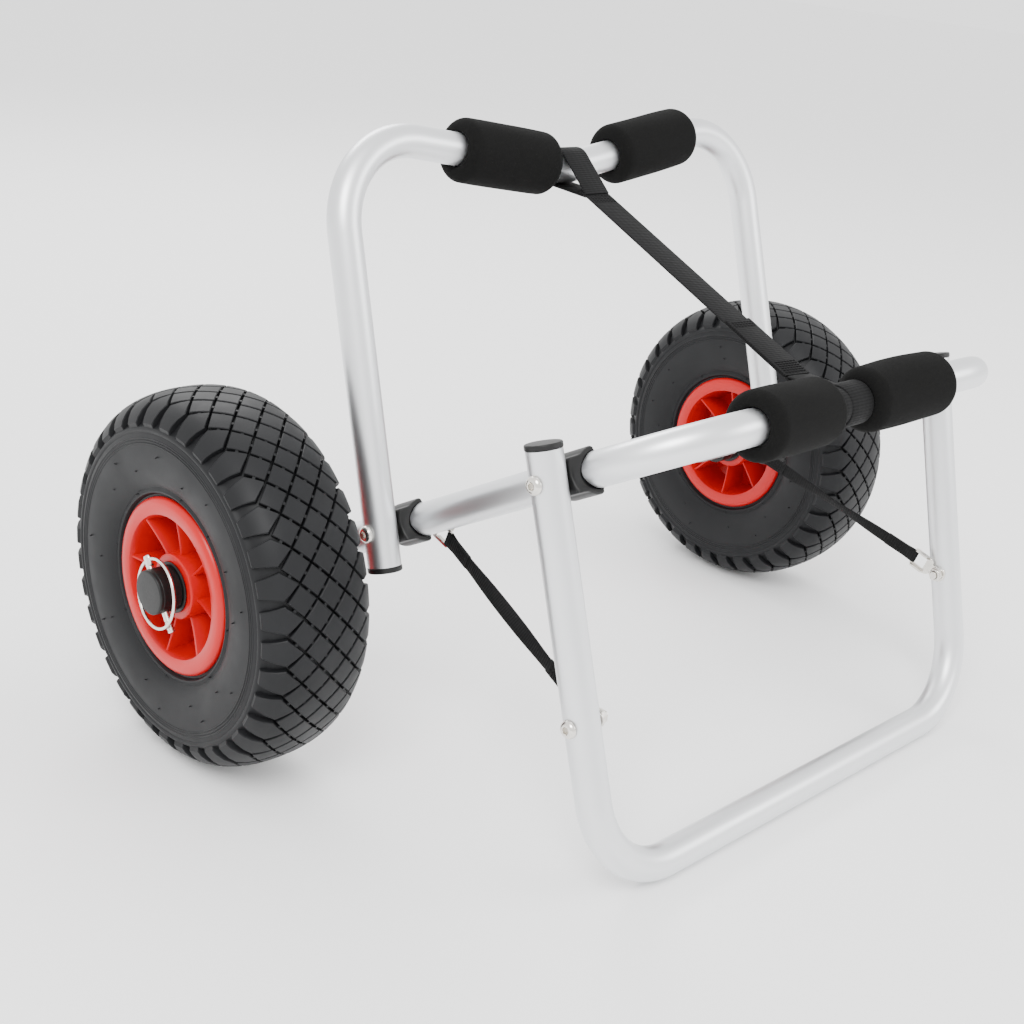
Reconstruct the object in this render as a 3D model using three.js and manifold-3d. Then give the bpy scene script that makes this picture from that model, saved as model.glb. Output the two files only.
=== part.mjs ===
// Folding two-wheel boat trolley, in millimetres. +Z is up, the stand is at the front (-Y) and the
// wheel axle runs along X. The origin is on the ground, at the middle of the whole trolley's box.
// Left is -X. The main frame, the rear frame and the stand are bent aluminium tubes, bolted together.

import * as THREE from 'three';
import { mergeVertices } from 'three/addons/utils/BufferGeometryUtils.js';
import Module from 'manifold-3d';

const wasm = await Module();
wasm.setup();

// ---------------------------------------------------------------- driving dimensions
const TUBE_RADIUS = 11.5;
const TUBE_WALL = 1.6;
const GAP = 0.3;                    // between touching pieces
const BEND_RADIUS = 60;             // corners of the rear frame and the stand
const DIP_BEND_RADIUS = 30;         // middle of a V bar
const BEND_STEP = Math.PI / 10;     // longest turn between two rings of a bent tube

const TYRE_RADIUS = 130;
const TREAD_HALF_WIDTH = 12;        // flat middle band of the tread
const WHEEL_SEGMENTS = 32;
const WHEEL_X = 300;                // middle plane of a wheel
const AXLE_Z = TYRE_RADIUS * Math.cos(Math.PI / WHEEL_SEGMENTS);

const ARM_ANGLE = THREE.MathUtils.degToRad(30.4);    // main frame, above the ground
const ARM_X = 190;
const ARM_LENGTH = 336;             // axle to the corners of the top bar
const ARM_DIP = 18;                 // depth of the top bar's V
const ARM_BEND_RADIUS = 64;         // corners of the top bar
const STUB_BEND_RADIUS = 55;
const STUB_END_X = 349;

const PIVOT_X = 220;
const REAR_PIVOT_ON_ARM = 84.8;     // axle to rear pivot, along the arm
const REAR_LEAN = THREE.MathUtils.degToRad(18.6);
const REAR_LENGTH = 266;            // rear pivot to the corners of the top bar
const REAR_DIP = 33;
const REAR_TAIL = 24;               // leg below its pivot
const REAR_TAPER = 0.023;           // each leg leans inward by this much per mm

const STAND_PIVOT_ON_ARM = 253.4;
const STAND_LEAN = THREE.MathUtils.degToRad(18);
const STAND_TAIL = 20;              // leg above its pivot
const STAND_TAPER = 0.035;
const STRAP_BOLT_ON_STAND = 150;    // stand pivot to the strap bolt, down the leg
const STAND_SIDES = 20;             // one facet of the foot bar then lies flat on the ground

const PAD_RADIUS = 22.5;
const REAR_PAD = { length: 90, x: [-64, 93] };       // centres along the rear bar
const FRONT_PAD = { length: 84, x: [-77, 53] };      // centres along the front bar

const RIM_RADIUS = 61;
const RIM_HALF_WIDTH = 37.5;
const HUB_HALF_LENGTH = 34;
const RIB_COUNT = 8;
const RIB_TURN = THREE.MathUtils.degToRad(-4.5);        // first rib, from the horizontal

const CAP_RADIUS = 15.3;
const CAP_FACE_X = 352.5;
const PIN_X = 345;
const PIN_TILT = THREE.MathUtils.degToRad(36.8);     // from upright, towards the rear
const PIN_RADIUS = 2.5;
const RING_RADIUS = 23.3;           // middle of the wire
const RING_WIRE = 1.2;

const BOLT_RADIUS = 3;
const BOLT_HEAD_RADIUS = 6;
const BOLT_HEAD_HEIGHT = 3.4;
const SOCKET_RADIUS = 2.2;          // corners of the hexagon socket in a bolt's head
const NUT_ACROSS = 10;
const NUT_HEIGHT = 5;
const BRACKET_THICK = 1.6;
const BRACKET_REACH = 25;           // bolt to the bracket's far edge
const BRACKET_WIDTH = 15;
const SIDE_STRAP_WIDTH = 10;
const MAIN_STRAP_WIDTH = 25;
const MAIN_STRAP_X = [1, -21];      // where it meets the rear bar and the front bar
const FRONT_TURNS_X = [-33.5, 9.5]; // its turns side by side round the front bar, from end to end
const STRAP_THICK = 1.8;

// ---------------------------------------------------------------- materials
function material(color, roughness, metalness) {
  return new THREE.MeshStandardMaterial({ color, roughness, metalness });
}
const ALUMINIUM = material(0xc9ccd0, 0.38, 0.9);
const STEEL = material(0xd6d3cc, 0.22, 1);
const RUBBER = material(0x1a1b1d, 0.75, 0);
const RED_PLASTIC = material(0xd01215, 0.35, 0);
const BLACK_PLASTIC = material(0x1d1f20, 0.5, 0);
const NYLON = material(0x2a2b2d, 0.4, 0);
const FOAM = material(0x0f1010, 0.95, 0);
const WEBBING = material(0x111112, 0.85, 0);

// ---------------------------------------------------------------- solids
const cart = new THREE.Group();

function add(name, geometry, look) {
  const mesh = new THREE.Mesh(geometry, look);
  mesh.name = name;
  cart.add(mesh);
  return mesh;
}

function toSolid(geometry) {
  const bare = geometry.clone();
  bare.deleteAttribute('normal');
  bare.deleteAttribute('uv');
  const merged = mergeVertices(bare, 1e-3);
  return new wasm.Manifold(new wasm.Mesh({
    numProp: 3,
    vertProperties: new Float32Array(merged.attributes.position.array),
    triVerts: new Uint32Array(merged.index.array),
  }));
}

function toGeometry(solid) {
  const mesh = solid.getMesh();
  const geometry = new THREE.BufferGeometry();
  geometry.setAttribute('position', new THREE.BufferAttribute(new Float32Array(mesh.vertProperties), 3));
  geometry.setIndex(new THREE.BufferAttribute(new Uint32Array(mesh.triVerts), 1));
  geometry.computeVertexNormals();
  return geometry;
}

function cut(geometry, ...tools) {
  return toGeometry(tools.reduce((solid, tool) => solid.subtract(toSolid(tool)), toSolid(geometry)));
}

function join(geometry, ...others) {
  return toGeometry(others.reduce((solid, other) => solid.add(toSolid(other)), toSolid(geometry)));
}

// A ring of corners at a radius, turned by half a step so that its flats face along the axes.
function ringPoints(radius, sides) {
  return Array.from({ length: sides }, (_, i) => {
    const angle = (i + 0.5) * 2 * Math.PI / sides;
    return new THREE.Vector2(radius * Math.cos(angle), radius * Math.sin(angle));
  });
}

// A path of straight runs and round bends, with its rings exactly where the path needs them.
class BentPath extends THREE.Curve {
  constructor(corners, radii) {
    super();
    this.points = [corners[0]];
    this.tangents = [corners[1].clone().sub(corners[0]).normalize()];
    for (let i = 1; i < corners.length - 1; i++) this.bend(corners, i, radii[i - 1]);
    this.points.push(corners.at(-1));
    this.tangents.push(corners.at(-1).clone().sub(corners.at(-2)).normalize());
  }

  bend(corners, i, radius) {
    const before = corners[i].clone().sub(corners[i - 1]).normalize();
    const after = corners[i + 1].clone().sub(corners[i]).normalize();
    const turn = before.angleTo(after);
    const start = corners[i].clone().addScaledVector(before, -radius * Math.tan(turn / 2));
    const inward = after.clone().addScaledVector(before, -after.dot(before)).normalize();
    const steps = Math.ceil(turn / BEND_STEP);
    for (let k = 0; k <= steps; k++) {
      const angle = turn * k / steps;
      const point = start.clone().addScaledVector(before, radius * Math.sin(angle));
      this.points.push(point.addScaledVector(inward, radius * (1 - Math.cos(angle))));
      const tangent = before.clone().multiplyScalar(Math.cos(angle));
      this.tangents.push(tangent.addScaledVector(inward, Math.sin(angle)));
    }
  }

  getPointAt(u) {
    return this.points[Math.round(u * (this.points.length - 1))].clone();
  }

  getPoint(t) {
    return this.getPointAt(t);
  }

  getTangentAt(u) {
    return this.tangents[Math.round(u * (this.points.length - 1))].clone();
  }
}

// A round outline, with an optional round hole, taken along a bent path.
function swept(corners, radii, outline, hole) {
  const shape = new THREE.Shape(outline);
  if (hole) shape.holes.push(new THREE.Path(hole));
  const path = new BentPath(corners, radii);
  return new THREE.ExtrudeGeometry(shape, { steps: path.points.length - 1, extrudePath: path });
}

function tube(corners, radii, sides = 16) {
  return swept(corners, radii, ringPoints(TUBE_RADIUS, sides), ringPoints(TUBE_RADIUS - TUBE_WALL, 8));
}

// A solid turned about its own Y axis; the profile's points are [radius, along].
function turned(profile, segments = 12) {
  const points = profile.map(([radius, along]) => new THREE.Vector2(radius, along));
  return new THREE.LatheGeometry(points, segments, Math.PI / segments);
}

// A whole section from the half on its positive side, listed from the inside out.
function mirrored(half) {
  return [...half.map(([radius, along]) => [radius, -along]), ...[...half].reverse()];
}

// The same profile, closed on itself, for a piece with a hole through it.
function turnedRing(profile, segments = 14) {
  return turned([...profile, profile[0]], segments);
}

// Lays a solid's own Y axis along a direction, with its own Z as near as can be to another.
function lay(geometry, along, up, place) {
  const y = along.clone().normalize();
  const x = new THREE.Vector3().crossVectors(y, up).normalize();
  const z = new THREE.Vector3().crossVectors(x, y);
  return geometry.applyMatrix4(new THREE.Matrix4().makeBasis(x, y, z).setPosition(place));
}

const X = new THREE.Vector3(1, 0, 0);
const UP = new THREE.Vector3(0, 0, 1);

// The round tool that cuts a bolt's hole, along its own Y axis.
function boltHole(length) {
  return new THREE.CylinderGeometry(BOLT_RADIUS + GAP, BOLT_RADIUS + GAP, length, 12);
}

// A bolt's hole along X through both walls of a tube.
function crossHole(x, centre) {
  return lay(boltHole(4 * TUBE_RADIUS), X, UP, centre.clone().setX(x));
}

function inPlane(x, along, direction, start) {
  return start.clone().addScaledVector(direction, along).setX(x);
}

// ---------------------------------------------------------------- directions and pivots
const axle = new THREE.Vector3(0, 0, AXLE_Z);
const armDirection = new THREE.Vector3(0, -Math.cos(ARM_ANGLE), Math.sin(ARM_ANGLE));
const armNormal = new THREE.Vector3(0, Math.sin(ARM_ANGLE), Math.cos(ARM_ANGLE));
const rearDirection = new THREE.Vector3(0, Math.sin(REAR_LEAN), Math.cos(REAR_LEAN));
const standDirection = new THREE.Vector3(0, -Math.sin(STAND_LEAN), -Math.cos(STAND_LEAN));
const rearPivot = axle.clone().addScaledVector(armDirection, REAR_PIVOT_ON_ARM);
const standPivot = axle.clone().addScaledVector(armDirection, STAND_PIVOT_ON_ARM);
const FOOT_BAR_Z = TUBE_RADIUS * Math.cos(Math.PI / STAND_SIDES);
const STAND_LENGTH = (standPivot.z - FOOT_BAR_Z) / Math.cos(STAND_LEAN);
const strapBolt = standPivot.clone().addScaledVector(standDirection, STRAP_BOLT_ON_STAND);
const strapDirection = strapBolt.clone().sub(rearPivot).normalize();
const pinDirection = new THREE.Vector3(0, Math.sin(PIN_TILT), Math.cos(PIN_TILT));
const ringAxis = new THREE.Vector3(0, Math.cos(PIN_TILT), -Math.sin(PIN_TILT));

// The slanting hole that a lock pin goes through.
function pinHole(side) {
  const tool = new THREE.CylinderGeometry(PIN_RADIUS + GAP, PIN_RADIUS + GAP, 4 * CAP_RADIUS, 10);
  return lay(tool, pinDirection, X, axle.clone().setX(side * PIN_X));
}

// The middle of a stand leg, at a distance down it from the stand's pivot.
function standLegX(along) {
  return PIVOT_X - STAND_TAPER * along;
}
const standStrapLegX = standLegX(STRAP_BOLT_ON_STAND);

// ---------------------------------------------------------------- bent tube frames
function mainFrame() {
  const at = (x, along) => inPlane(x, along, armDirection, axle);
  const corners = [
    at(-STUB_END_X, 0), at(-ARM_X, 0), at(-ARM_X, ARM_LENGTH), at(0, ARM_LENGTH - ARM_DIP),
    at(ARM_X, ARM_LENGTH), at(ARM_X, 0), at(STUB_END_X, 0),
  ];
  const bends = [STUB_BEND_RADIUS, ARM_BEND_RADIUS, DIP_BEND_RADIUS, ARM_BEND_RADIUS, STUB_BEND_RADIUS];
  const holes = [];
  for (const side of [-1, 1]) {
    holes.push(crossHole(side * ARM_X, rearPivot), crossHole(side * ARM_X, standPivot));
    holes.push(pinHole(side));
  }
  return cut(tube(corners, bends), ...holes);
}

function rearFrame() {
  const at = (x, along) => inPlane(x, along, rearDirection, rearPivot);
  const foot = PIVOT_X + REAR_TAPER * REAR_TAIL;
  const top = PIVOT_X - REAR_TAPER * REAR_LENGTH;
  const corners = [
    at(-foot, -REAR_TAIL), at(-top, REAR_LENGTH), at(0, REAR_LENGTH - REAR_DIP),
    at(top, REAR_LENGTH), at(foot, -REAR_TAIL),
  ];
  const holes = [-1, 1].map((side) => crossHole(side * PIVOT_X, rearPivot));
  return cut(tube(corners, [BEND_RADIUS, DIP_BEND_RADIUS, BEND_RADIUS]), ...holes);
}

function standFrame() {
  const at = (x, along) => inPlane(x, along, standDirection, standPivot);
  const corners = [
    at(-standLegX(-STAND_TAIL), -STAND_TAIL), at(-standLegX(STAND_LENGTH), STAND_LENGTH),
    at(standLegX(STAND_LENGTH), STAND_LENGTH), at(standLegX(-STAND_TAIL), -STAND_TAIL),
  ];
  const holes = [-1, 1].flatMap((side) => [
    crossHole(side * PIVOT_X, standPivot), crossHole(side * standStrapLegX, strapBolt),
  ]);
  return cut(tube(corners, [BEND_RADIUS, BEND_RADIUS], STAND_SIDES), ...holes);
}

add('main_frame', mainFrame(), ALUMINIUM);
add('rear_frame', rearFrame(), ALUMINIUM);
add('stand_frame', standFrame(), ALUMINIUM);

// ---------------------------------------------------------------- tube end caps
const END_CAP_THICK = 4;
const END_CAP_PLUG = 8;             // how far it goes into the tube
const END_CAP_EDGE = 1;

// A disc over the tube's end with a plug that goes inside; its own Y axis points out of the tube.
function endCap() {
  const plug = TUBE_RADIUS - TUBE_WALL - 0.8;
  return turned([
    [0, -END_CAP_PLUG], [plug, -END_CAP_PLUG], [plug, GAP], [TUBE_RADIUS, GAP],
    [TUBE_RADIUS, END_CAP_THICK - END_CAP_EDGE], [TUBE_RADIUS - END_CAP_EDGE, END_CAP_THICK],
    [0, END_CAP_THICK],
  ]);
}

for (const [sideName, side] of [['left', -1], ['right', 1]]) {
  const rearOut = rearDirection.clone().negate().setX(side * REAR_TAPER);
  const rearEndX = side * (PIVOT_X + REAR_TAPER * REAR_TAIL);
  const rearEnd = inPlane(rearEndX, -REAR_TAIL, rearDirection, rearPivot);
  add(`rear_end_cap_${sideName}`, lay(endCap(), rearOut, X, rearEnd), BLACK_PLASTIC);
  const standOut = standDirection.clone().negate().setX(side * STAND_TAPER);
  const standEnd = inPlane(side * standLegX(-STAND_TAIL), -STAND_TAIL, standDirection, standPivot);
  add(`stand_end_cap_${sideName}`, lay(endCap(), standOut, X, standEnd), BLACK_PLASTIC);
}

// ---------------------------------------------------------------- saddles between arm and leg
const SADDLE_HALF_LENGTH = 12.5;
const SADDLE_OUTER = 15;            // radius of its round back
const SADDLE_REACH = 17.7;          // arm's axis to the face that the leg turns against
const SADDLE_FACE_HALF = 11;
const SADDLE_NECK = THREE.MathUtils.degToRad(50);      // where the round back turns into the neck
const SADDLE_OPENING = THREE.MathUtils.degToRad(98);   // half of the arc that hugs the arm

function arcPoints(radius, from, to, steps) {
  return Array.from({ length: steps + 1 }, (_, i) => {
    const angle = from + (to - from) * i / steps;
    return new THREE.Vector2(radius * Math.cos(angle), radius * Math.sin(angle));
  });
}

// The section, across the arm: a half pipe that hugs the arm and narrows to the leg's flat face.
function saddleShape() {
  const groove = TUBE_RADIUS + 0.5;
  return new THREE.Shape([
    ...arcPoints(SADDLE_OUTER, -SADDLE_OPENING, -SADDLE_NECK, 4),
    new THREE.Vector2(SADDLE_REACH, -SADDLE_FACE_HALF),
    new THREE.Vector2(SADDLE_REACH, SADDLE_FACE_HALF),
    ...arcPoints(SADDLE_OUTER, SADDLE_NECK, SADDLE_OPENING, 4),
    ...arcPoints(groove, SADDLE_OPENING, -SADDLE_OPENING, 10),
  ]);
}

function saddle(side, pivot) {
  const options = { depth: 2 * SADDLE_HALF_LENGTH, bevelEnabled: false };
  const block = new THREE.ExtrudeGeometry(saddleShape(), options).translate(0, 0, -SADDLE_HALF_LENGTH);
  const body = cut(block, boltHole(4 * SADDLE_REACH).rotateZ(Math.PI / 2));
  const outward = X.clone().multiplyScalar(side);
  const along = new THREE.Vector3().crossVectors(outward, armNormal);
  const place = new THREE.Matrix4().makeBasis(outward, armNormal, along);
  return body.applyMatrix4(place.setPosition(pivot.clone().setX(side * ARM_X)));
}

// ---------------------------------------------------------------- bolts, nuts and strap brackets
// A button-head bolt; its own Y axis runs from under the head down the shank.
function bolt(length) {
  const top = -BOLT_HEAD_HEIGHT;
  const body = turned([
    [0, top], [0.6 * BOLT_HEAD_RADIUS, top], [0.9 * BOLT_HEAD_RADIUS, 0.65 * top],
    [BOLT_HEAD_RADIUS, 0.2 * top], [BOLT_HEAD_RADIUS, 0], [BOLT_RADIUS, 0], [BOLT_RADIUS, length],
    [0, length],
  ]);
  const socket = new THREE.CylinderGeometry(SOCKET_RADIUS, SOCKET_RADIUS, BOLT_HEAD_HEIGHT, 6);
  return cut(body, socket.translate(0, top, 0));
}

// A hexagon nut with a domed locking collar; its own Y axis points away from what it clamps.
function nut() {
  const corner = NUT_ACROSS / 2 / Math.cos(Math.PI / 6);
  const collarHeight = 1.6;
  const flats = NUT_HEIGHT - collarHeight;
  const hexagon = new THREE.CylinderGeometry(corner, corner, flats, 6).translate(0, flats / 2, 0);
  const collar = new THREE.CylinderGeometry(3.9, 4.5, collarHeight + GAP, 12);
  collar.translate(0, NUT_HEIGHT - collarHeight / 2, 0);
  return cut(join(hexagon, collar), boltHole(3 * NUT_HEIGHT));
}

// A flat stamped link: round about its bolt, with a window whose far bar holds the strap.
function bracket() {
  const half = BRACKET_WIDTH / 2;
  const neck = 5.5;
  const shoulder = 9.5;
  const border = 2.5;
  const windowLength = BRACKET_REACH - border - shoulder - border;
  const shape = new THREE.Shape();
  shape.absarc(0, 0, 6.5, Math.PI * 0.72, Math.PI * 1.28, false);
  shape.lineTo(shoulder - 1.5, -neck);
  shape.lineTo(shoulder, -half);
  shape.lineTo(BRACKET_REACH, -half);
  shape.lineTo(BRACKET_REACH, half);
  shape.lineTo(shoulder, half);
  shape.lineTo(shoulder - 1.5, neck);
  const options = { depth: BRACKET_THICK, bevelEnabled: false, curveSegments: 6 };
  const hole = boltHole(10).rotateX(Math.PI / 2);
  const window = new THREE.BoxGeometry(windowLength, BRACKET_WIDTH - 2 * border, 10);
  window.translate(BRACKET_REACH - border - windowLength / 2, 0, 0);
  return cut(new THREE.ExtrudeGeometry(shape, options), hole, window);
}

// Stands a bracket in a plane across X: its own X axis goes along a direction, its back at x.
function placeBracket(x, centre, direction) {
  const across = new THREE.Vector3().crossVectors(X, direction);
  const place = new THREE.Matrix4().makeBasis(direction, across, X);
  return bracket().applyMatrix4(place.setPosition(centre.clone().setX(x)));
}

// From outside in: bolt head, tube or tubes, an optional bracket, then the nut.
function fastenerSet(name, side, centre, outerX, innerX, withBracket) {
  const inward = X.clone().multiplyScalar(-side);
  const clamp = innerX - GAP - (withBracket ? BRACKET_THICK + GAP : 0);
  const head = centre.clone().setX(side * (outerX + GAP));
  add(name.replace('*', 'bolt'), lay(bolt(outerX - clamp + NUT_HEIGHT + 2), inward, UP, head), STEEL);
  add(name.replace('*', 'nut'), lay(nut(), inward, UP, centre.clone().setX(side * clamp)), STEEL);
}

const armInner = ARM_X - TUBE_RADIUS;
const legOuter = PIVOT_X + TUBE_RADIUS;
const bracketX = {                  // the face of each bracket nearer to the middle of the trolley
  arm: armInner - GAP - BRACKET_THICK,
  stand: standStrapLegX - TUBE_RADIUS - GAP - BRACKET_THICK,
};

for (const [sideName, side] of [['left', -1], ['right', 1]]) {
  add(`rear_saddle_${sideName}`, saddle(side, rearPivot), BLACK_PLASTIC);
  add(`stand_saddle_${sideName}`, saddle(side, standPivot), BLACK_PLASTIC);
  fastenerSet(`rear_pivot_*_${sideName}`, side, rearPivot, legOuter, armInner, true);
  fastenerSet(`stand_pivot_*_${sideName}`, side, standPivot, legOuter, armInner, false);
  fastenerSet(`strap_*_${sideName}`, side, strapBolt, standStrapLegX + TUBE_RADIUS,
    standStrapLegX - TUBE_RADIUS, true);
  const shift = side < 0 ? BRACKET_THICK : 0;
  add(`arm_strap_bracket_${sideName}`,
    placeBracket(side * bracketX.arm - shift, rearPivot, strapDirection), STEEL);
  add(`stand_strap_bracket_${sideName}`,
    placeBracket(side * bracketX.stand - shift, strapBolt, strapDirection.clone().negate()), STEEL);
}

// ---------------------------------------------------------------- foam pads
// A place on one half of a V bar, and the bar's direction there.
function onBar(middle, corner, x) {
  const along = corner.clone().sub(middle);
  return { centre: middle.clone().addScaledVector(along, x / corner.x), along };
}

// A foam sleeve on a V bar, with rounded ends and one facet square to the frame's plane.
function pad(middle, corner, planeNormal, { length, x }, index) {
  const { centre, along } = onBar(middle, corner, x[index]);
  const bore = TUBE_RADIUS + 0.7;
  const half = length / 2;
  const rounding = 6;
  const edge = 0.3 * rounding;
  const sleeve = turnedRing(mirrored([
    [bore, half], [PAD_RADIUS - rounding, half], [PAD_RADIUS - edge, half - edge],
    [PAD_RADIUS, half - rounding],
  ]), 16);
  return lay(sleeve, along, planeNormal, centre);
}

const rearMiddle = inPlane(0, REAR_LENGTH - REAR_DIP, rearDirection, rearPivot);
const rearCorner = (side) => inPlane(
  side * (PIVOT_X - REAR_TAPER * REAR_LENGTH), REAR_LENGTH, rearDirection, rearPivot);
const frontMiddle = inPlane(0, ARM_LENGTH - ARM_DIP, armDirection, axle);
const frontCorner = (side) => inPlane(side * ARM_X, ARM_LENGTH, armDirection, axle);
const rearNormal = new THREE.Vector3().crossVectors(X, rearDirection);

for (const [sideName, side, index] of [['left', -1, 0], ['right', 1, 1]]) {
  add(`rear_pad_${sideName}`, pad(rearMiddle, rearCorner(side), rearNormal, REAR_PAD, index), FOAM);
  add(`front_pad_${sideName}`, pad(frontMiddle, frontCorner(side), armNormal, FRONT_PAD, index), FOAM);
}

// ---------------------------------------------------------------- straps
// A piece of a V bar's middle line, across its bend.
function barLine(middle, cornerAt, [from, to]) {
  const ends = [from, to].map((x) => onBar(middle, cornerAt(Math.sign(x)), x).centre);
  return [ends[0], middle, ends[1]];
}

// Webbing wrapped round a V bar.
function strapTurns(middle, cornerAt, range) {
  const [outer, inner] = [TUBE_RADIUS + 0.6 + STRAP_THICK, TUBE_RADIUS + 0.6];
  const line = barLine(middle, cornerAt, range);
  return swept(line, [DIP_BEND_RADIUS], ringPoints(outer, 14), ringPoints(inner, 14));
}

// The room that a V bar takes inside those turns.
function barRoom(middle, cornerAt) {
  const reach = 2 * MAIN_STRAP_WIDTH;
  const line = barLine(middle, cornerAt, [-reach, reach]);
  return swept(line, [DIP_BEND_RADIUS], ringPoints(TUBE_RADIUS + 0.9, 14));
}

function flatStrap(from, to, width, faceNormal) {
  const along = to.clone().sub(from);
  const strip = new THREE.BoxGeometry(width, along.length(), STRAP_THICK);
  return lay(strip, along, faceNormal, from.clone().add(to).multiplyScalar(0.5));
}

function mainStrap() {
  const rearX = MAIN_STRAP_X[0];
  const half = MAIN_STRAP_WIDTH / 2;
  const from = onBar(rearMiddle, rearCorner(Math.sign(rearX)), rearX).centre;
  const to = onBar(frontMiddle, frontCorner(Math.sign(MAIN_STRAP_X[1])), MAIN_STRAP_X[1]).centre;
  const strip = flatStrap(from, to, MAIN_STRAP_WIDTH, UP);
  const rooms = [barRoom(rearMiddle, rearCorner), barRoom(frontMiddle, frontCorner)];
  const rearTurn = strapTurns(rearMiddle, rearCorner, [rearX - half, rearX + half]);
  return join(cut(strip, ...rooms), rearTurn, strapTurns(frontMiddle, frontCorner, FRONT_TURNS_X));
}

function sideStrap(side) {
  const reach = BRACKET_REACH + 2 * GAP;
  const offset = BRACKET_THICK / 2;
  const from = rearPivot.clone().addScaledVector(strapDirection, reach);
  const to = strapBolt.clone().addScaledVector(strapDirection, -reach);
  from.setX(side * (bracketX.arm + offset));
  to.setX(side * (bracketX.stand + offset));
  return flatStrap(from, to, SIDE_STRAP_WIDTH, X);
}

add('main_strap', mainStrap(), WEBBING);
add('side_strap_left', sideStrap(-1), WEBBING);
add('side_strap_right', sideStrap(1), WEBBING);

// ---------------------------------------------------------------- wheels
// Half of the tyre's section, [radius, across], from the bead to the tread, outside and inside.
const TYRE_OUTSIDE = [[53.6, 25], [53.6, 33], [62.5, 33.2], [72, 39.4], [90, 41.7], [108, 40.2],
  [120.5, 34], [TYRE_RADIUS, TREAD_HALF_WIDTH]];
const TYRE_INSIDE = [[66, 27], [80, 34], [98, 35], [113, 28], [121, 10]];

function tyre() {
  return turnedRing([...mirrored(TYRE_OUTSIDE), ...mirrored(TYRE_INSIDE).reverse()], WHEEL_SEGMENTS);
}

// A thin rubber ring inside the tyre, open only at its valve.
const TUBE_RING_RADIUS = 92;
const TUBE_RING_HALF = 24;
const TUBE_RING_WALL = 2;
const VALVE_RADIUS = 3.5;
const VALVE_BORE = 1.2;
const VALVE_LENGTH = 40;

// Lays a round tool along the valve, which slants inboard from the inner tube to the hub.
function alongValve(radius, length, segments) {
  const tool = new THREE.CylinderGeometry(radius, radius, length, segments);
  return lay(tool, new THREE.Vector3(1, 0.42, 0), UP, new THREE.Vector3(TUBE_RING_RADIUS - 38, -18, 0));
}

function innerTube() {
  const section = (size) => ringPoints(size, 8).map(({ x, y }) => [TUBE_RING_RADIUS + x, y]);
  const stem = alongValve(VALVE_RADIUS, VALVE_LENGTH, 8);
  const shell = join(turnedRing(section(TUBE_RING_HALF), 20), stem);
  const air = turnedRing(section(TUBE_RING_HALF - TUBE_RING_WALL), 20);
  return cut(shell, air, alongValve(VALVE_BORE, 1.5 * VALVE_LENGTH, 6));
}

// Rim: two flanges, a bead seat between them, a web at the middle, a hub and ribs on both faces.
const RIM_SEAT = 52.5;
const RIM_INSIDE = 48;
const RIM_WALL = 4;                 // the flanges and half of the web
const HUB_RADIUS = 22.5;
const HUB_BORE = 14.6;
const RIB_THICK = 3;

function rim() {
  const body = turnedRing(mirrored([
    [HUB_BORE, HUB_HALF_LENGTH], [HUB_RADIUS, HUB_HALF_LENGTH], [HUB_RADIUS + 1, RIM_WALL],
    [RIM_INSIDE - 2, RIM_WALL], [RIM_INSIDE + 1, RIM_HALF_WIDTH], [RIM_RADIUS, RIM_HALF_WIDTH],
    [RIM_RADIUS, RIM_HALF_WIDTH - 0.9 * RIM_WALL], [RIM_SEAT, RIM_HALF_WIDTH - RIM_WALL],
  ]), 24);
  const reach = RIM_INSIDE - HUB_RADIUS + 1;
  const ribs = [];
  for (let i = 0; i < RIB_COUNT; i++) {
    const rib = new THREE.BoxGeometry(reach, 2 * HUB_HALF_LENGTH - 1, RIB_THICK);
    rib.translate(HUB_RADIUS - 0.5 + reach / 2, 0, 0);
    ribs.push(rib.rotateY(RIB_TURN + i * 2 * Math.PI / RIB_COUNT));
  }
  return cut(join(body, ...ribs), alongValve(VALVE_RADIUS + 0.6, 1.5 * VALVE_LENGTH, 8));
}

// A flanged sleeve that runs on the axle; its own Y axis points out of the hub.
const AXLE_BORE = TUBE_RADIUS + 0.45;
const BUSH_LENGTH = 18;
const BUSH_FLANGE = { radius: 17.5, thick: 1.8 };

function bush() {
  const outer = HUB_BORE - 0.4;
  const { radius, thick } = BUSH_FLANGE;
  return turnedRing([
    [AXLE_BORE, -BUSH_LENGTH], [outer, -BUSH_LENGTH], [outer, GAP], [radius, GAP],
    [radius, thick], [AXLE_BORE, thick],
  ], 16);
}

function spacer(length) {
  const outer = AXLE_BORE + 3;
  return turnedRing([[AXLE_BORE, 0], [outer, 0], [outer, length], [AXLE_BORE, length]]);
}

// The moulded cap over the axle's end; its own Y axis points outward, and y = 0 is its face.
function axleCap(depth) {
  const end = GAP + STUB_END_X - CAP_FACE_X;
  return turned([
    [0, end], [AXLE_BORE, end], [AXLE_BORE, -depth], [CAP_RADIUS, -depth],
    [CAP_RADIUS, -1], [CAP_RADIUS - 1, 0], [0, 0],
  ], 16);
}

// ---------------------------------------------------------------- lock pin and its ring
const PIN_ABOVE = 21.5;             // axle to the middle of the pin's head
const PIN_BELOW = 29.5;
const PIN_HEAD_HALF = 3.2;
const PIN_HEAD_RADIUS = 3.3;

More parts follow.
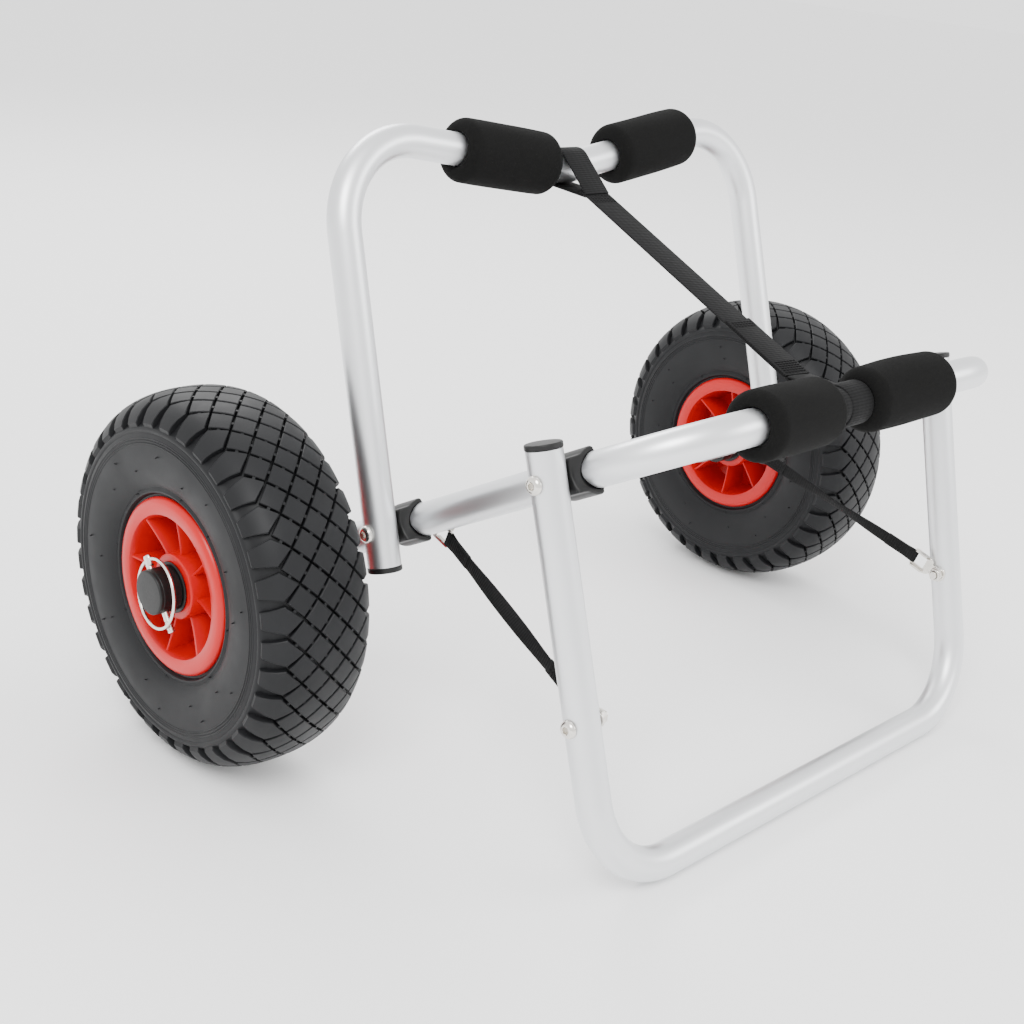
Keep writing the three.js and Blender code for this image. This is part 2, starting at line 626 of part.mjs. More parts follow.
function lockPin() {
  const shoulder = PIN_ABOVE - PIN_HEAD_HALF;
  const top = PIN_ABOVE + PIN_HEAD_HALF;
  const shank = turned([
    [0, -PIN_BELOW], [PIN_RADIUS - 0.6, -PIN_BELOW], [PIN_RADIUS, 1 - PIN_BELOW],
    [PIN_RADIUS, shoulder - 1], [PIN_HEAD_RADIUS, shoulder], [PIN_HEAD_RADIUS, top - 1],
    [PIN_HEAD_RADIUS - 1, top], [0, top],
  ], 10);
  const eye = RING_WIRE + 2 * GAP;
  const hole = new THREE.CylinderGeometry(eye, eye, 4 * PIN_HEAD_RADIUS, 8).rotateZ(Math.PI / 2);
  return cut(shank, hole.translate(0, PIN_ABOVE, 0));
}

// The wire ring hangs from the eye in the pin's head and leans outward against the pin's lower end.
function lockRing(side) {
  const ring = new THREE.TorusGeometry(RING_RADIUS, RING_WIRE, 6, 22).rotateY(Math.PI / 2);
  ring.translate(...pinDirection.clone().multiplyScalar(-RING_RADIUS));
  const lean = Math.asin((PIN_RADIUS + RING_WIRE + 2 * GAP) / (2 * RING_RADIUS));
  ring.applyMatrix4(new THREE.Matrix4().makeRotationAxis(ringAxis, -side * lean));
  const head = axle.clone().setX(side * PIN_X).addScaledVector(pinDirection, PIN_ABOVE);
  return ring.translate(...head);
}

// ---------------------------------------------------------------- wheel sets
for (const [sideName, side] of [['left', -1], ['right', 1]]) {
  const outward = X.clone().multiplyScalar(side);
  const inward = outward.clone().negate();
  const centre = axle.clone().setX(side * WHEEL_X);
  const at = (x) => axle.clone().setX(side * x);
  add(`tyre_${sideName}`, lay(tyre(), outward, UP, centre), RUBBER);
  add(`inner_tube_${sideName}`, lay(innerTube(), outward, UP, centre), RUBBER);
  add(`rim_${sideName}`, lay(rim(), outward, UP, centre), RED_PLASTIC);
  add(`outer_bush_${sideName}`, lay(bush(), outward, UP, at(WHEEL_X + HUB_HALF_LENGTH)), NYLON);
  add(`inner_bush_${sideName}`, lay(bush(), inward, UP, at(WHEEL_X - HUB_HALF_LENGTH)), NYLON);
  const spacerStart = WHEEL_X - HUB_HALF_LENGTH - BUSH_FLANGE.thick - GAP;
  const spacerLength = spacerStart - ARM_X - STUB_BEND_RADIUS;
  add(`axle_spacer_${sideName}`, lay(spacer(spacerLength), inward, UP, at(spacerStart)), NYLON);
  const capDepth = CAP_FACE_X - WHEEL_X - HUB_HALF_LENGTH - BUSH_FLANGE.thick - GAP;
  const cap = lay(axleCap(capDepth), outward, UP, at(CAP_FACE_X));
  add(`axle_cap_${sideName}`, cut(cap, pinHole(side)), BLACK_PLASTIC);
  add(`lock_pin_${sideName}`, lay(lockPin(), pinDirection, X, at(PIN_X)), STEEL);
  add(`lock_ring_${sideName}`, lockRing(side), STEEL);
}

// The origin lies at the middle of the trolley's box, on the ground.
const middle = new THREE.Box3().setFromObject(cart, true).getCenter(new THREE.Vector3());
cart.position.y = -middle.y;

export default cart;
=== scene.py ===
"""The folding two-wheel boat trolley, as it looks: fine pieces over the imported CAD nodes.

Lengths in this script are millimetres in the row frame and are turned into metres when a mesh is made.
"""

import math
import random

import bmesh
import bpy
from mathutils import Matrix, Vector


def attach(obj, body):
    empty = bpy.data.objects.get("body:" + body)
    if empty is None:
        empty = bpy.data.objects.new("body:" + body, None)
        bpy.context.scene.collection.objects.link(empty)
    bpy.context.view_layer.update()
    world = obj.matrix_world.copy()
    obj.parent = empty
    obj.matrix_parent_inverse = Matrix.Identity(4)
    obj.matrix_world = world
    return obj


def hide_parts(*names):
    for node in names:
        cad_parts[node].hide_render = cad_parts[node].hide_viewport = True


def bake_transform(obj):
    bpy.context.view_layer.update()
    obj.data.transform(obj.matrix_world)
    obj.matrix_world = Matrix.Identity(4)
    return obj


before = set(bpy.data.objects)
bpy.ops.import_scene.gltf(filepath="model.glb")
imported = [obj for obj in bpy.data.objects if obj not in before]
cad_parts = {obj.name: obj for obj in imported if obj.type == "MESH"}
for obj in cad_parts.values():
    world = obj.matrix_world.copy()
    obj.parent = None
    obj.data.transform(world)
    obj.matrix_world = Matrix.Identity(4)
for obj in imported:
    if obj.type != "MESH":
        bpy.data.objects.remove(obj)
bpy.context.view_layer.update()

MM = 0.001
SIDES = (("left", -1), ("right", 1))
X = Vector((1, 0, 0))
Y = Vector((0, 1, 0))
Z = Vector((0, 0, 1))

# ------------------------------------------------------------------ driving dimensions
TUBE_RADIUS = 11.5
AXLE = Vector((0, 90.2775, 129.374))
ARM_ANGLE = math.radians(30.4)
ARM_X = 190
ARM_LENGTH = 336
ARM_DIP = 18
STUB_END_X = 349
PIVOT_X = 220
REAR_LEAN = math.radians(18.6)
REAR_LENGTH = 266
REAR_DIP = 33
REAR_TAIL = 24
REAR_TAPER = 0.023
STAND_LEAN = math.radians(18)
STAND_TAIL = 20
STAND_TAPER = 0.035
STRAP_BOLT_ON_STAND = 150
MAIN_STRAP_X = (1, -21)             # where it meets the rear bar and the front bar
MAIN_WEBBING = (25, 1.5)            # width, thickness
SIDE_WEBBING = (9.8, 1.1)
STRAP_BAR_REACH = 23.7              # bolt to the middle of the bracket bar that holds a side strap
WHEEL_X = 300
HUB_HALF_LENGTH = 34
RIB_COUNT = 8
RIB_TURN = math.radians(4.5)
AXLE_END_X = 352.5
PIN_X = 345
PIN_HINGE = 21.5                    # the ring's hinge, along the pin from the axle's middle
SPACER_START_X = 263.9
SPACER_LENGTH = 18.9
TREAD_PITCHES = 36

ARM = Vector((0, -math.cos(ARM_ANGLE), math.sin(ARM_ANGLE)))
ARM_NORMAL = Vector((0, math.sin(ARM_ANGLE), math.cos(ARM_ANGLE)))
REAR = Vector((0, math.sin(REAR_LEAN), math.cos(REAR_LEAN)))
STAND = Vector((0, -math.sin(STAND_LEAN), -math.cos(STAND_LEAN)))
REAR_PIVOT = AXLE + 84.8 * ARM
STAND_PIVOT = AXLE + 253.4 * ARM
STAND_LENGTH = (STAND_PIVOT.z - 11.36) / math.cos(STAND_LEAN)
STRAP_BOLT = STAND_PIVOT + STRAP_BOLT_ON_STAND * STAND
STRAP = (STRAP_BOLT - REAR_PIVOT).normalized()
PIN_TILT = math.radians(36.8)
PIN = Vector((0, math.sin(PIN_TILT), math.cos(PIN_TILT)))
RING_AXIS = Vector((0, math.cos(PIN_TILT), -math.sin(PIN_TILT)))


# ------------------------------------------------------------------ materials
class Look:
    """A material's node tree, with short ways to add what it needs."""

    def __init__(self, name, color, roughness, metallic=0.0, **constants):
        self.material = bpy.data.materials.new(name)
        self.material.use_nodes = True
        self.tree = self.material.node_tree
        self.shader = self.tree.nodes["Principled BSDF"]
        self.shader.inputs["Base Color"].default_value = (*color, 1)
        self.shader.inputs["Roughness"].default_value = roughness
        self.shader.inputs["Metallic"].default_value = metallic
        for socket, value in constants.items():
            self.shader.inputs[socket.replace("_", " ")].default_value = value
        self.color = color
        self.height = None

    def node(self, kind, **settings):
        made = self.tree.nodes.new(kind)
        for key, value in settings.items():
            setattr(made, key, value)
        return made

    def link(self, output, target):
        self.tree.links.new(output, target)

    def noise(self, coordinates, scale, detail=3.0, stretch=(1, 1, 1)):
        source = self.node("ShaderNodeTexCoord").outputs[coordinates]
        mapping = self.node("ShaderNodeMapping")
        mapping.inputs["Scale"].default_value = stretch
        self.link(source, mapping.inputs["Vector"])
        texture = self.node("ShaderNodeTexNoise")
        texture.inputs["Scale"].default_value = scale
        texture.inputs["Detail"].default_value = detail
        self.link(mapping.outputs["Vector"], texture.inputs["Vector"])
        return texture.outputs["Fac"]

    def wave(self, scale, direction):
        source = self.node("ShaderNodeTexCoord").outputs["UV"]
        texture = self.node("ShaderNodeTexWave", wave_type="BANDS", bands_direction=direction)
        texture.inputs["Scale"].default_value = scale
        self.link(source, texture.inputs["Vector"])
        return texture.outputs["Fac"]

    def spread(self, value, low, high):
        """A 0 to 1 value taken to a range."""
        made = self.node("ShaderNodeMapRange")
        made.inputs["To Min"].default_value = low
        made.inputs["To Max"].default_value = high
        self.link(value, made.inputs["Value"])
        return made.outputs["Result"]

    def rough(self, value, low, high):
        self.link(self.spread(value, low, high), self.shader.inputs["Roughness"])

    def tint(self, value, other):
        """The base colour turns into another where the value is high."""
        mix = self.node("ShaderNodeMix", data_type="RGBA")
        mix.inputs[6].default_value = (*self.color, 1)
        mix.inputs[7].default_value = (*other, 1)
        self.link(value, mix.inputs[0])
        self.link(mix.outputs[2], self.shader.inputs["Base Color"])

    def bump(self, value, distance, strength=1.0):
        made = self.node("ShaderNodeBump")
        made.inputs["Distance"].default_value = distance
        made.inputs["Strength"].default_value = strength
        self.link(value, made.inputs["Height"])
        if self.height is not None:
            self.link(self.height, made.inputs["Normal"])
        self.height = made.outputs["Normal"]
        self.link(self.height, self.shader.inputs["Normal"])


def aluminium_look():
    look = Look("satin aluminium", (0.80, 0.81, 0.82), 0.34, 1.0)
    streaks = look.noise("UV", 1.0, 4.0, (160, 9, 1))
    look.rough(streaks, 0.33, 0.48)
    look.tint(look.noise("Object", 14), (0.74, 0.75, 0.765))
    look.bump(streaks, 0.00004, 0.35)
    return look.material


def steel_look():
    look = Look("nickel-plated steel", (0.74, 0.71, 0.66), 0.2, 1.0)
    look.rough(look.noise("Object", 260), 0.14, 0.30)
    return look.material


def plastic_look():
    look = Look("moulded black plastic", (0.006, 0.006, 0.006), 0.42, Specular_IOR_Level=0.3)
    grain = look.noise("Object", 900, 2)
    look.rough(grain, 0.36, 0.52)
    look.bump(grain, 0.0001, 0.4)
    return look.material


def nylon_look():
    look = Look("dark nylon", (0.008, 0.008, 0.008), 0.36, Specular_IOR_Level=0.3)
    look.rough(look.noise("Object", 300), 0.3, 0.42)
    return look.material


def rim_look():
    look = Look("red plastic", (0.50, 0.001, 0.003), 0.32, Specular_IOR_Level=0.35)
    look.rough(look.noise("Object", 120), 0.26, 0.38)
    look.tint(look.noise("Object", 30), (0.44, 0.001, 0.002))
    look.bump(look.noise("Object", 700, 2), 0.00008, 0.25)
    return look.material


def tyre_look():
    look = Look("tyre rubber", (0.0045, 0.0047, 0.0053), 0.5, Specular_IOR_Level=0.22)
    look.rough(look.noise("Object", 45), 0.40, 0.62)
    look.tint(look.noise("Object", 25), (0.008, 0.0084, 0.0095))
    look.bump(look.noise("Object", 1300, 2), 0.0001, 0.3)
    return look.material


def tube_look():
    look = Look("tube rubber", (0.007, 0.007, 0.0075), 0.6, Specular_IOR_Level=0.25)
    look.rough(look.noise("Object", 200), 0.52, 0.68)
    return look.material


def foam_look():
    look = Look("foam", (0.0035, 0.0035, 0.0035), 0.95, Specular_IOR_Level=0.1)
    look.tint(look.noise("Object", 420, 4), (0.0065, 0.0065, 0.0062))
    look.bump(look.noise("Object", 1500, 3), 0.0005, 0.7)
    return look.material


def webbing_look():
    look = Look("woven webbing", (0.0035, 0.0035, 0.0037), 0.75, Specular_IOR_Level=0.15)
    ribs = look.wave(160, "Y")
    look.tint(ribs, (0.0075, 0.0075, 0.0078))
    look.bump(ribs, 0.0003, 0.6)
    look.bump(look.wave(240, "X"), 0.0002, 0.4)
    return look.material


LOOKS = {
    "aluminium_tube": aluminium_look(),
    "steel": steel_look(),
    "black_plastic": plastic_look(),
    "nylon": nylon_look(),
    "red_rim": rim_look(),
    "tyre_rubber": tyre_look(),
    "tube_rubber": tube_look(),
    "foam": foam_look(),
    "webbing": webbing_look(),
}


# ------------------------------------------------------------------ mesh helpers
class Shape:
    """Points, faces and face UVs of one piece."""

    def __init__(self):
        self.points = []
        self.faces = []
        self.uvs = []

    def add_face(self, corners, uv=None):
        self.faces.append(tuple(corners))
        self.uvs.append(uv or [(0.0, 0.0)] * len(corners))

    def loft(self, rings, closed=False):
        """Joins rings of equally many points. A closed loft comes back to its first ring."""
        base = len(self.points)
        size = len(rings[0])
        for ring in rings:
            self.points.extend(ring)
        along = [0.0]
        for ring, following in zip(rings, rings[1:] + rings[:1]):
            along.append(along[-1] + (following[0] - ring[0]).length * MM)
        girth = sum((rings[0][i] - rings[0][i - 1]).length for i in range(size)) * MM
        spans = len(rings) if closed else len(rings) - 1
        for i in range(spans):
            start, end = base + i * size, base + (i + 1) % len(rings) * size
            for j in range(size):
                k = (j + 1) % size
                low, high = girth * j / size, girth * (j + 1) / size
                self.add_face((start + j, start + k, end + k, end + j), [
                    (low, along[i]), (high, along[i]), (high, along[i + 1]), (low, along[i + 1])])
        if not closed:
            self.add_face(range(base + size - 1, base - 1, -1))
            self.add_face(range(base + (len(rings) - 1) * size, base + len(rings) * size))

    def turned(self, profile, place, segments=48, closed=False):
        """A profile of [radius, along] turned about place's Y axis."""
        rings = []
        for radius, along in profile:
            rings.append([
                place @ Vector((radius * math.cos(a), along, radius * math.sin(a)))
                for a in (2 * math.pi * i / segments for i in range(segments))
            ])
        self.loft(rings, closed)

    def block(self, corners):
        """A closed box from its eight corners: four below, then four above, both going the same way."""
        self.loft([corners[:4], corners[4:]])

    def make(self, name, look, sharp=32):
        mesh = bpy.data.meshes.new(name)
        mesh.from_pydata([Vector(p) * MM for p in self.points], [], self.faces)
        layer = mesh.uv_layers.new(name="UVMap")
        flat = [value for face in self.uvs for uv in face for value in uv]
        layer.data.foreach_set("uv", flat)
        mesh.polygons.foreach_set("use_smooth", [True] * len(mesh.polygons))
        mesh.materials.append(look)
        made = bpy.data.objects.new(name, mesh)
        bpy.context.scene.collection.objects.link(made)
        turn_outward(mesh)
        mesh.set_sharp_from_angle(angle=math.radians(sharp))
        return made


def turn_outward(mesh):
    """Points every closed shell's faces outward."""
    work = bmesh.new()
    work.from_mesh(mesh)
    bmesh.ops.recalc_face_normals(work, faces=work.faces)
    work.to_mesh(mesh)
    work.free()


def basis(along, up, place):
    """A placing whose Y axis goes along a direction and whose Z axis is near another."""
    y = along.normalized()
    x = y.cross(up).normalized()
    z = x.cross(y)
    matrix = Matrix((x, y, z)).transposed().to_4x4()
    matrix.translation = place
    return matrix


def rounded(corners, radii, steps=5):
    """A closed outline with each corner turned into an arc."""
    points = []
    count = len(corners)
    for i, corner in enumerate(corners):
        corner = Vector(corner)
        before = Vector(corners[i - 1]) - corner
        after = Vector(corners[(i + 1) % count]) - corner
        radius = radii[i] if isinstance(radii, (list, tuple)) else radii
        if radius <= 0:
            points.append(corner)
            continue
        half = before.angle(after) / 2
        cut = min(radius / math.tan(half), before.length * 0.49, after.length * 0.49)
        start = corner + before.normalized() * cut
        end = corner + after.normalized() * cut
        for k in range(steps + 1):
            t = k / steps
            points.append(start * (1 - t) ** 2 + corner * (2 * t * (1 - t)) + end * t ** 2)
    return points


def arc(centre, radius, start, end, steps):
    """Profile points on a circle's arc, in degrees."""
    points = []
    for k in range(steps + 1):
        angle = math.radians(start + (end - start) * k / steps)
        points.append((centre[0] + radius * math.cos(angle), centre[1] + radius * math.sin(angle)))
    return points


def bent_path(corners, radii, turn_step=math.radians(3), straight_step=12.0):
    """Points and tangents of a line with round bends at its inner corners."""
    points = []
    tangents = []

    def straight(start, end):
        direction = (end - start).normalized()
        count = max(1, round((end - start).length / straight_step))
        for k in range(count):
            points.append(start.lerp(end, k / count))
            tangents.append(direction)

    here = corners[0]
    for i in range(1, len(corners) - 1):
        before = (corners[i] - corners[i - 1]).normalized()
        after = (corners[i + 1] - corners[i]).normalized()
        turn = before.angle(after)
        start = corners[i] - before * (radii[i - 1] * math.tan(turn / 2))
        straight(here, start)
        inward = (after - before * after.dot(before)).normalized()
        steps = max(2, math.ceil(turn / turn_step))
        for k in range(steps):
            angle = turn * k / steps
            offset = before * math.sin(angle) + inward * (1 - math.cos(angle))
            points.append(start + offset * radii[i - 1])
            tangents.append(before * math.cos(angle) + inward * math.sin(angle))
        here = corners[i] + after * (radii[i - 1] * math.tan(turn / 2))
    straight(here, corners[-1])
    points.append(corners[-1])
    tangents.append((corners[-1] - corners[-2]).normalized())
    return points, tangents


def finish_piece(piece, body, node):
    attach(piece, body)
    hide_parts(node)


def add_piece(shape, node, body, slot, sharp=32):
    piece = shape.make(f"{node}_look", LOOKS[slot], sharp)
    finish_piece(piece, body, node)
    return piece


# ------------------------------------------------------------------ bent tube frames
def in_plane(x, along, direction, start):
    point = start + direction * along
    return Vector((x, point.y, point.z))


def bent_tube(node, body, corners, radii, normal, sides=40):
    points, tangents = bent_path(corners, radii)
    rings = []
    for point, tangent in zip(points, tangents):
        across = normal.cross(tangent).normalized()
        rings.append([
            point + (normal * math.cos(a) + across * math.sin(a)) * TUBE_RADIUS
            for a in (2 * math.pi * i / sides for i in range(sides))
        ])
    shape = Shape()
    shape.loft(rings)
    add_piece(shape, node, body, "aluminium_tube")


def on_arm(x, along):
    return in_plane(x, along, ARM, AXLE)


def on_rear(x, along):
    return in_plane(x, along, REAR, REAR_PIVOT)


def on_stand(x, along):
    return in_plane(x, along, STAND, STAND_PIVOT)


def stand_leg_x(along):
    return PIVOT_X - STAND_TAPER * along


REAR_FOOT_X = PIVOT_X + REAR_TAPER * REAR_TAIL
REAR_TOP_X = PIVOT_X - REAR_TAPER * REAR_LENGTH
REAR_MIDDLE = on_rear(0, REAR_LENGTH - REAR_DIP)
FRONT_MIDDLE = on_arm(0, ARM_LENGTH - ARM_DIP)

bent_tube("main_frame", "chassis", [
    on_arm(-STUB_END_X, 0), on_arm(-ARM_X, 0), on_arm(-ARM_X, ARM_LENGTH), FRONT_MIDDLE,
    on_arm(ARM_X, ARM_LENGTH), on_arm(ARM_X, 0), on_arm(STUB_END_X, 0),
], [55, 64, 30, 64, 55], ARM_NORMAL)
bent_tube("rear_frame", "rear_frame", [
    on_rear(-REAR_FOOT_X, -REAR_TAIL), on_rear(-REAR_TOP_X, REAR_LENGTH), REAR_MIDDLE,
    on_rear(REAR_TOP_X, REAR_LENGTH), on_rear(REAR_FOOT_X, -REAR_TAIL),
], [60, 30, 60], X.cross(REAR))
bent_tube("stand_frame", "stand", [
    on_stand(-stand_leg_x(-STAND_TAIL), -STAND_TAIL), on_stand(-stand_leg_x(STAND_LENGTH), STAND_LENGTH),
    on_stand(stand_leg_x(STAND_LENGTH), STAND_LENGTH), on_stand(stand_leg_x(-STAND_TAIL), -STAND_TAIL),
], [60, 60], X.cross(STAND))


# ------------------------------------------------------------------ end caps and saddles
def end_cap(node, body, outward, place):
    shape = Shape()
    profile = [(8.6, -8), (9.1, -7.4), (9.1, 0.25), (11.4, 0.25), (11.8, 0.6)]
    profile += arc((10.8, 2.9), 1.0, 0, 90, 6) + [(9.0, 4.0), (4.0, 4.1)]
    shape.turned(profile, basis(outward, X, place), 48)
    add_piece(shape, node, body, "black_plastic")


for side_name, side in SIDES:
    outward = Vector((side * REAR_TAPER, -REAR.y, -REAR.z))
    end_cap(f"rear_end_cap_{side_name}", "rear_frame", outward, on_rear(side * REAR_FOOT_X, -REAR_TAIL))
    outward = Vector((side * STAND_TAPER, -STAND.y, -STAND.z))
    place = on_stand(side * stand_leg_x(-STAND_TAIL), -STAND_TAIL)
    end_cap(f"stand_end_cap_{side_name}", "stand", outward, place)


def saddle(node, side, pivot):
    """A moulded block: a half pipe that hugs the arm, with a scooped neck to the leg's side."""
    opening, groove, back = 98, 12.0, 15.0
    neck = [(17.0, 10.9), (17.6, 10.2), (17.6, 6), (17.6, 0), (17.6, -6), (17.6, -10.2), (17.0, -10.9)]
    lip = groove * math.cos(math.radians(opening))
    outline = [Vector((lip + 0.2, groove + 0.6)), Vector((lip + 0.7, back - 0.4))]
    outline += [Vector(p) for p in arc((0, 0), back, 90, 52, 12)]
    outline += [Vector(p) for p in [(11.2, 11.4), (13.6, 11.2)] + neck + [(13.6, -11.2), (11.2, -11.4)]]
    outline += [Vector(p) for p in arc((0, 0), back, -52, -90, 12)]
    outline += [Vector((lip + 0.7, 0.4 - back)), Vector((lip + 0.2, -groove - 0.6))]
    outline += [Vector(p) for p in arc((0, 0), groove, -opening, opening, 26)]
    along = (X * side).cross(ARM_NORMAL)
    centre = Vector((side * ARM_X, pivot.y, pivot.z))
    rings = []
    for t, shrink in ((-12.5, 1.5), (-12.2, 0.7), (-11.4, 0.15), (-10.4, 0), (-7, 0), (-3.5, 0), (0, 0),
                      (3.5, 0), (7, 0), (10.4, 0), (11.4, 0.15), (12.2, 0.7), (12.5, 1.5)):
        ring = []
        for point in outline:
            distance = point.length
            here = point if distance < groove + 0.1 else point * (1 - shrink / distance)
            scoop = max(0.0, min(1.0, (point.x - 8.5) / 8)) * (1 - 0.75 * (point.y / 12) ** 2)
            place = centre + X * (side * here.x) + ARM_NORMAL * here.y
            ring.append(place + along * (t * (1 - 0.42 * scoop)))
        rings.append(ring)
    shape = Shape()
    shape.loft(rings)
    add_piece(shape, node, "chassis", "black_plastic", 50)


# ------------------------------------------------------------------ bolts, nuts and strap brackets
def circle_or_hexagon(radius, apothem, samples=36):
    """Distances round a circle, cut back to a hexagon where that is nearer."""
    result = []
    for i in range(samples):
        angle = 2 * math.pi * i / samples
        folded = (angle % (math.pi / 3)) - math.pi / 6
        result.append(min(radius, apothem / math.cos(folded)))
    return result


def radial_loft(shape, layers, place, closed=False):
    """Layers of (distances round the axis, height along it)."""
    rings = []
    for distances, height in layers:
        count = len(distances)
        rings.append([
            place @ Vector((d * math.cos(2 * math.pi * i / count), height,
                            d * math.sin(2 * math.pi * i / count)))
            for i, d in enumerate(distances)
        ])
    shape.loft(rings, closed)


def bolt(node, body, side, outer_x, clamp_x, centre):
    """A button-head bolt with a hexagon socket, from under its head inward."""
    length = outer_x - clamp_x + 7
    layers = [(circle_or_hexagon(r, 99), h) for r, h in (
        (2.6, length), (3.0, length - 0.5), (3.0, 0), (5.9, 0), (6.05, -0.25), (6.0, -0.8),
        (5.6, -1.7), (4.9, -2.55), (4.0, -3.15), (3.2, -3.4), (2.85, -3.4))]
    layers += [(circle_or_hexagon(9, 2.3), -3.2), (circle_or_hexagon(9, 2.25), -0.6)]
    shape = Shape()
    place = basis(X * -side, Z, Vector((side * outer_x, centre.y, centre.z)))
    radial_loft(shape, layers, place)
    add_piece(shape, node, body, "steel", 28)


def nut(node, body, side, clamp_x, centre):
    """A locking nut: chamfered hexagon, domed collar and a bore."""
    layers = [
        (circle_or_hexagon(3.3, 99), 0), (circle_or_hexagon(5.15, 5), 0), (circle_or_hexagon(9, 5), 0.35),
        (circle_or_hexagon(9, 5), 3.0), (circle_or_hexagon(5.2, 5), 3.4), (circle_or_hexagon(4.5, 99), 3.5),
        (circle_or_hexagon(4.45, 99), 4.3), (circle_or_hexagon(4.0, 99), 4.9),
        (circle_or_hexagon(3.5, 99), 5.05), (circle_or_hexagon(3.3, 99), 4.8),
    ]
    shape = Shape()
    radial_loft(shape, layers, basis(X * -side, Z, Vector((side * clamp_x, centre.y, centre.z))), True)
    add_piece(shape, node, body, "steel", 28)


def flat_part(name, outlines, thickness, edge, place):
    """A plate cut from outlines, with softened edges; its own Z axis is across its thickness."""
    curve = bpy.data.curves.new(name, "CURVE")
    curve.dimensions = "2D"
    curve.fill_mode = "BOTH"
    curve.extrude = (thickness / 2 - edge) * MM
    curve.bevel_depth = edge * MM
    curve.offset = -edge * MM
    curve.bevel_resolution = 2
    for outline in outlines:
        line = curve.splines.new("POLY")
        line.points.add(len(outline) - 1)
        for point, (x, y) in zip(line.points, outline):
            point.co = (x * MM, y * MM, 0, 1)
        line.use_cyclic_u = True
    drawn = bpy.data.objects.new(name, curve)
    bpy.context.scene.collection.objects.link(drawn)
    bpy.context.view_layer.update()
    mesh = bpy.data.meshes.new_from_object(drawn.evaluated_get(bpy.context.evaluated_depsgraph_get()))
    bpy.data.objects.remove(drawn)
    bpy.data.curves.remove(curve)
    shape = Shape()
    for vertex in mesh.vertices:
        shape.points.append(place @ (vertex.co / MM))
    for polygon in mesh.polygons:
        shape.add_face(polygon.vertices)
    bpy.data.meshes.remove(mesh)
    return shape


def merge_doubles(piece):
    work = bmesh.new()
    work.from_mesh(piece.data)
    bmesh.ops.remove_doubles(work, verts=work.verts, dist=1e-5)
    bmesh.ops.recalc_face_normals(work, faces=work.faces)
    work.to_mesh(piece.data)
    work.free()
    piece.data.set_sharp_from_angle(angle=math.radians(32))


def bracket(node, body, side, x, centre, direction):
    """A stamped link: round about its bolt, with a window whose far bar holds the strap."""
    across = X.cross(direction)
    place = Matrix((direction, across, X)).transposed().to_4x4()
    place.translation = Vector((x, centre.y, centre.z))
    body_outline = [(px, py) for px, py in arc((0, 0), 6.5, 122, 238, 14)]
    body_outline += [tuple(p) for p in rounded(
        [(6.5, -5.4), (9.6, -7.5), (25, -7.5), (25, 7.5), (9.6, 7.5), (6.5, 5.4)],
        [3, 2, 1.8, 1.8, 2, 3], 4)]
    window = [tuple(p) for p in rounded([(12.5, -4.9), (22.4, -4.9), (22.4, 4.9), (12.5, 4.9)], 1.2, 4)]
    hole = arc((0, 0), 3.25, 0, 345, 23)
    shape = flat_part(node, [body_outline, window, hole], 1.6, 0.25, place)
    # Its two long sides are folded up towards the middle of the trolley.
    for edge in (-1, 1):
        low, high = edge * 7.5, edge * 6.1
        base = [(10.5, low), (24.2, low), (24.2, high), (10.5, high)]
        top = [(12.5, low), (22.8, low), (22.8, high), (12.5, high)]
        corners = [place @ Vector((px, py, -side * 0.5)) for px, py in base]
        corners += [place @ Vector((px, py, -side * 3.4)) for px, py in top]
        shape.block(corners)
    piece = shape.make(f"{node}_look", LOOKS["steel"])
    merge_doubles(piece)
    finish_piece(piece, body, node)


ARM_BRACKET_X = 177.4               # middle of its thickness
STAND_BRACKET_X = 202.15
for side_name, side in SIDES:
    saddle(f"rear_saddle_{side_name}", side, REAR_PIVOT)
    saddle(f"stand_saddle_{side_name}", side, STAND_PIVOT)
    bolt(f"rear_pivot_bolt_{side_name}", "chassis", side, 231.8, 176.3, REAR_PIVOT)
    nut(f"rear_pivot_nut_{side_name}", "chassis", side, 176.3, REAR_PIVOT)
    bolt(f"stand_pivot_bolt_{side_name}", "chassis", side, 231.8, 178.2, STAND_PIVOT)
    nut(f"stand_pivot_nut_{side_name}", "chassis", side, 178.2, STAND_PIVOT)
    bolt(f"strap_bolt_{side_name}", "stand", side, 226.55, 201.05, STRAP_BOLT)
    nut(f"strap_nut_{side_name}", "stand", side, 201.05, STRAP_BOLT)
    bracket(f"arm_strap_bracket_{side_name}", "chassis", side, side * ARM_BRACKET_X, REAR_PIVOT, STRAP)
    bracket(f"stand_strap_bracket_{side_name}", "stand", side, side * STAND_BRACKET_X, STRAP_BOLT, -STRAP)


# ------------------------------------------------------------------ foam pads
def on_bar(middle, corner, x):
    along = corner - middle
    return middle + along * (x / corner.x), along.normalized()


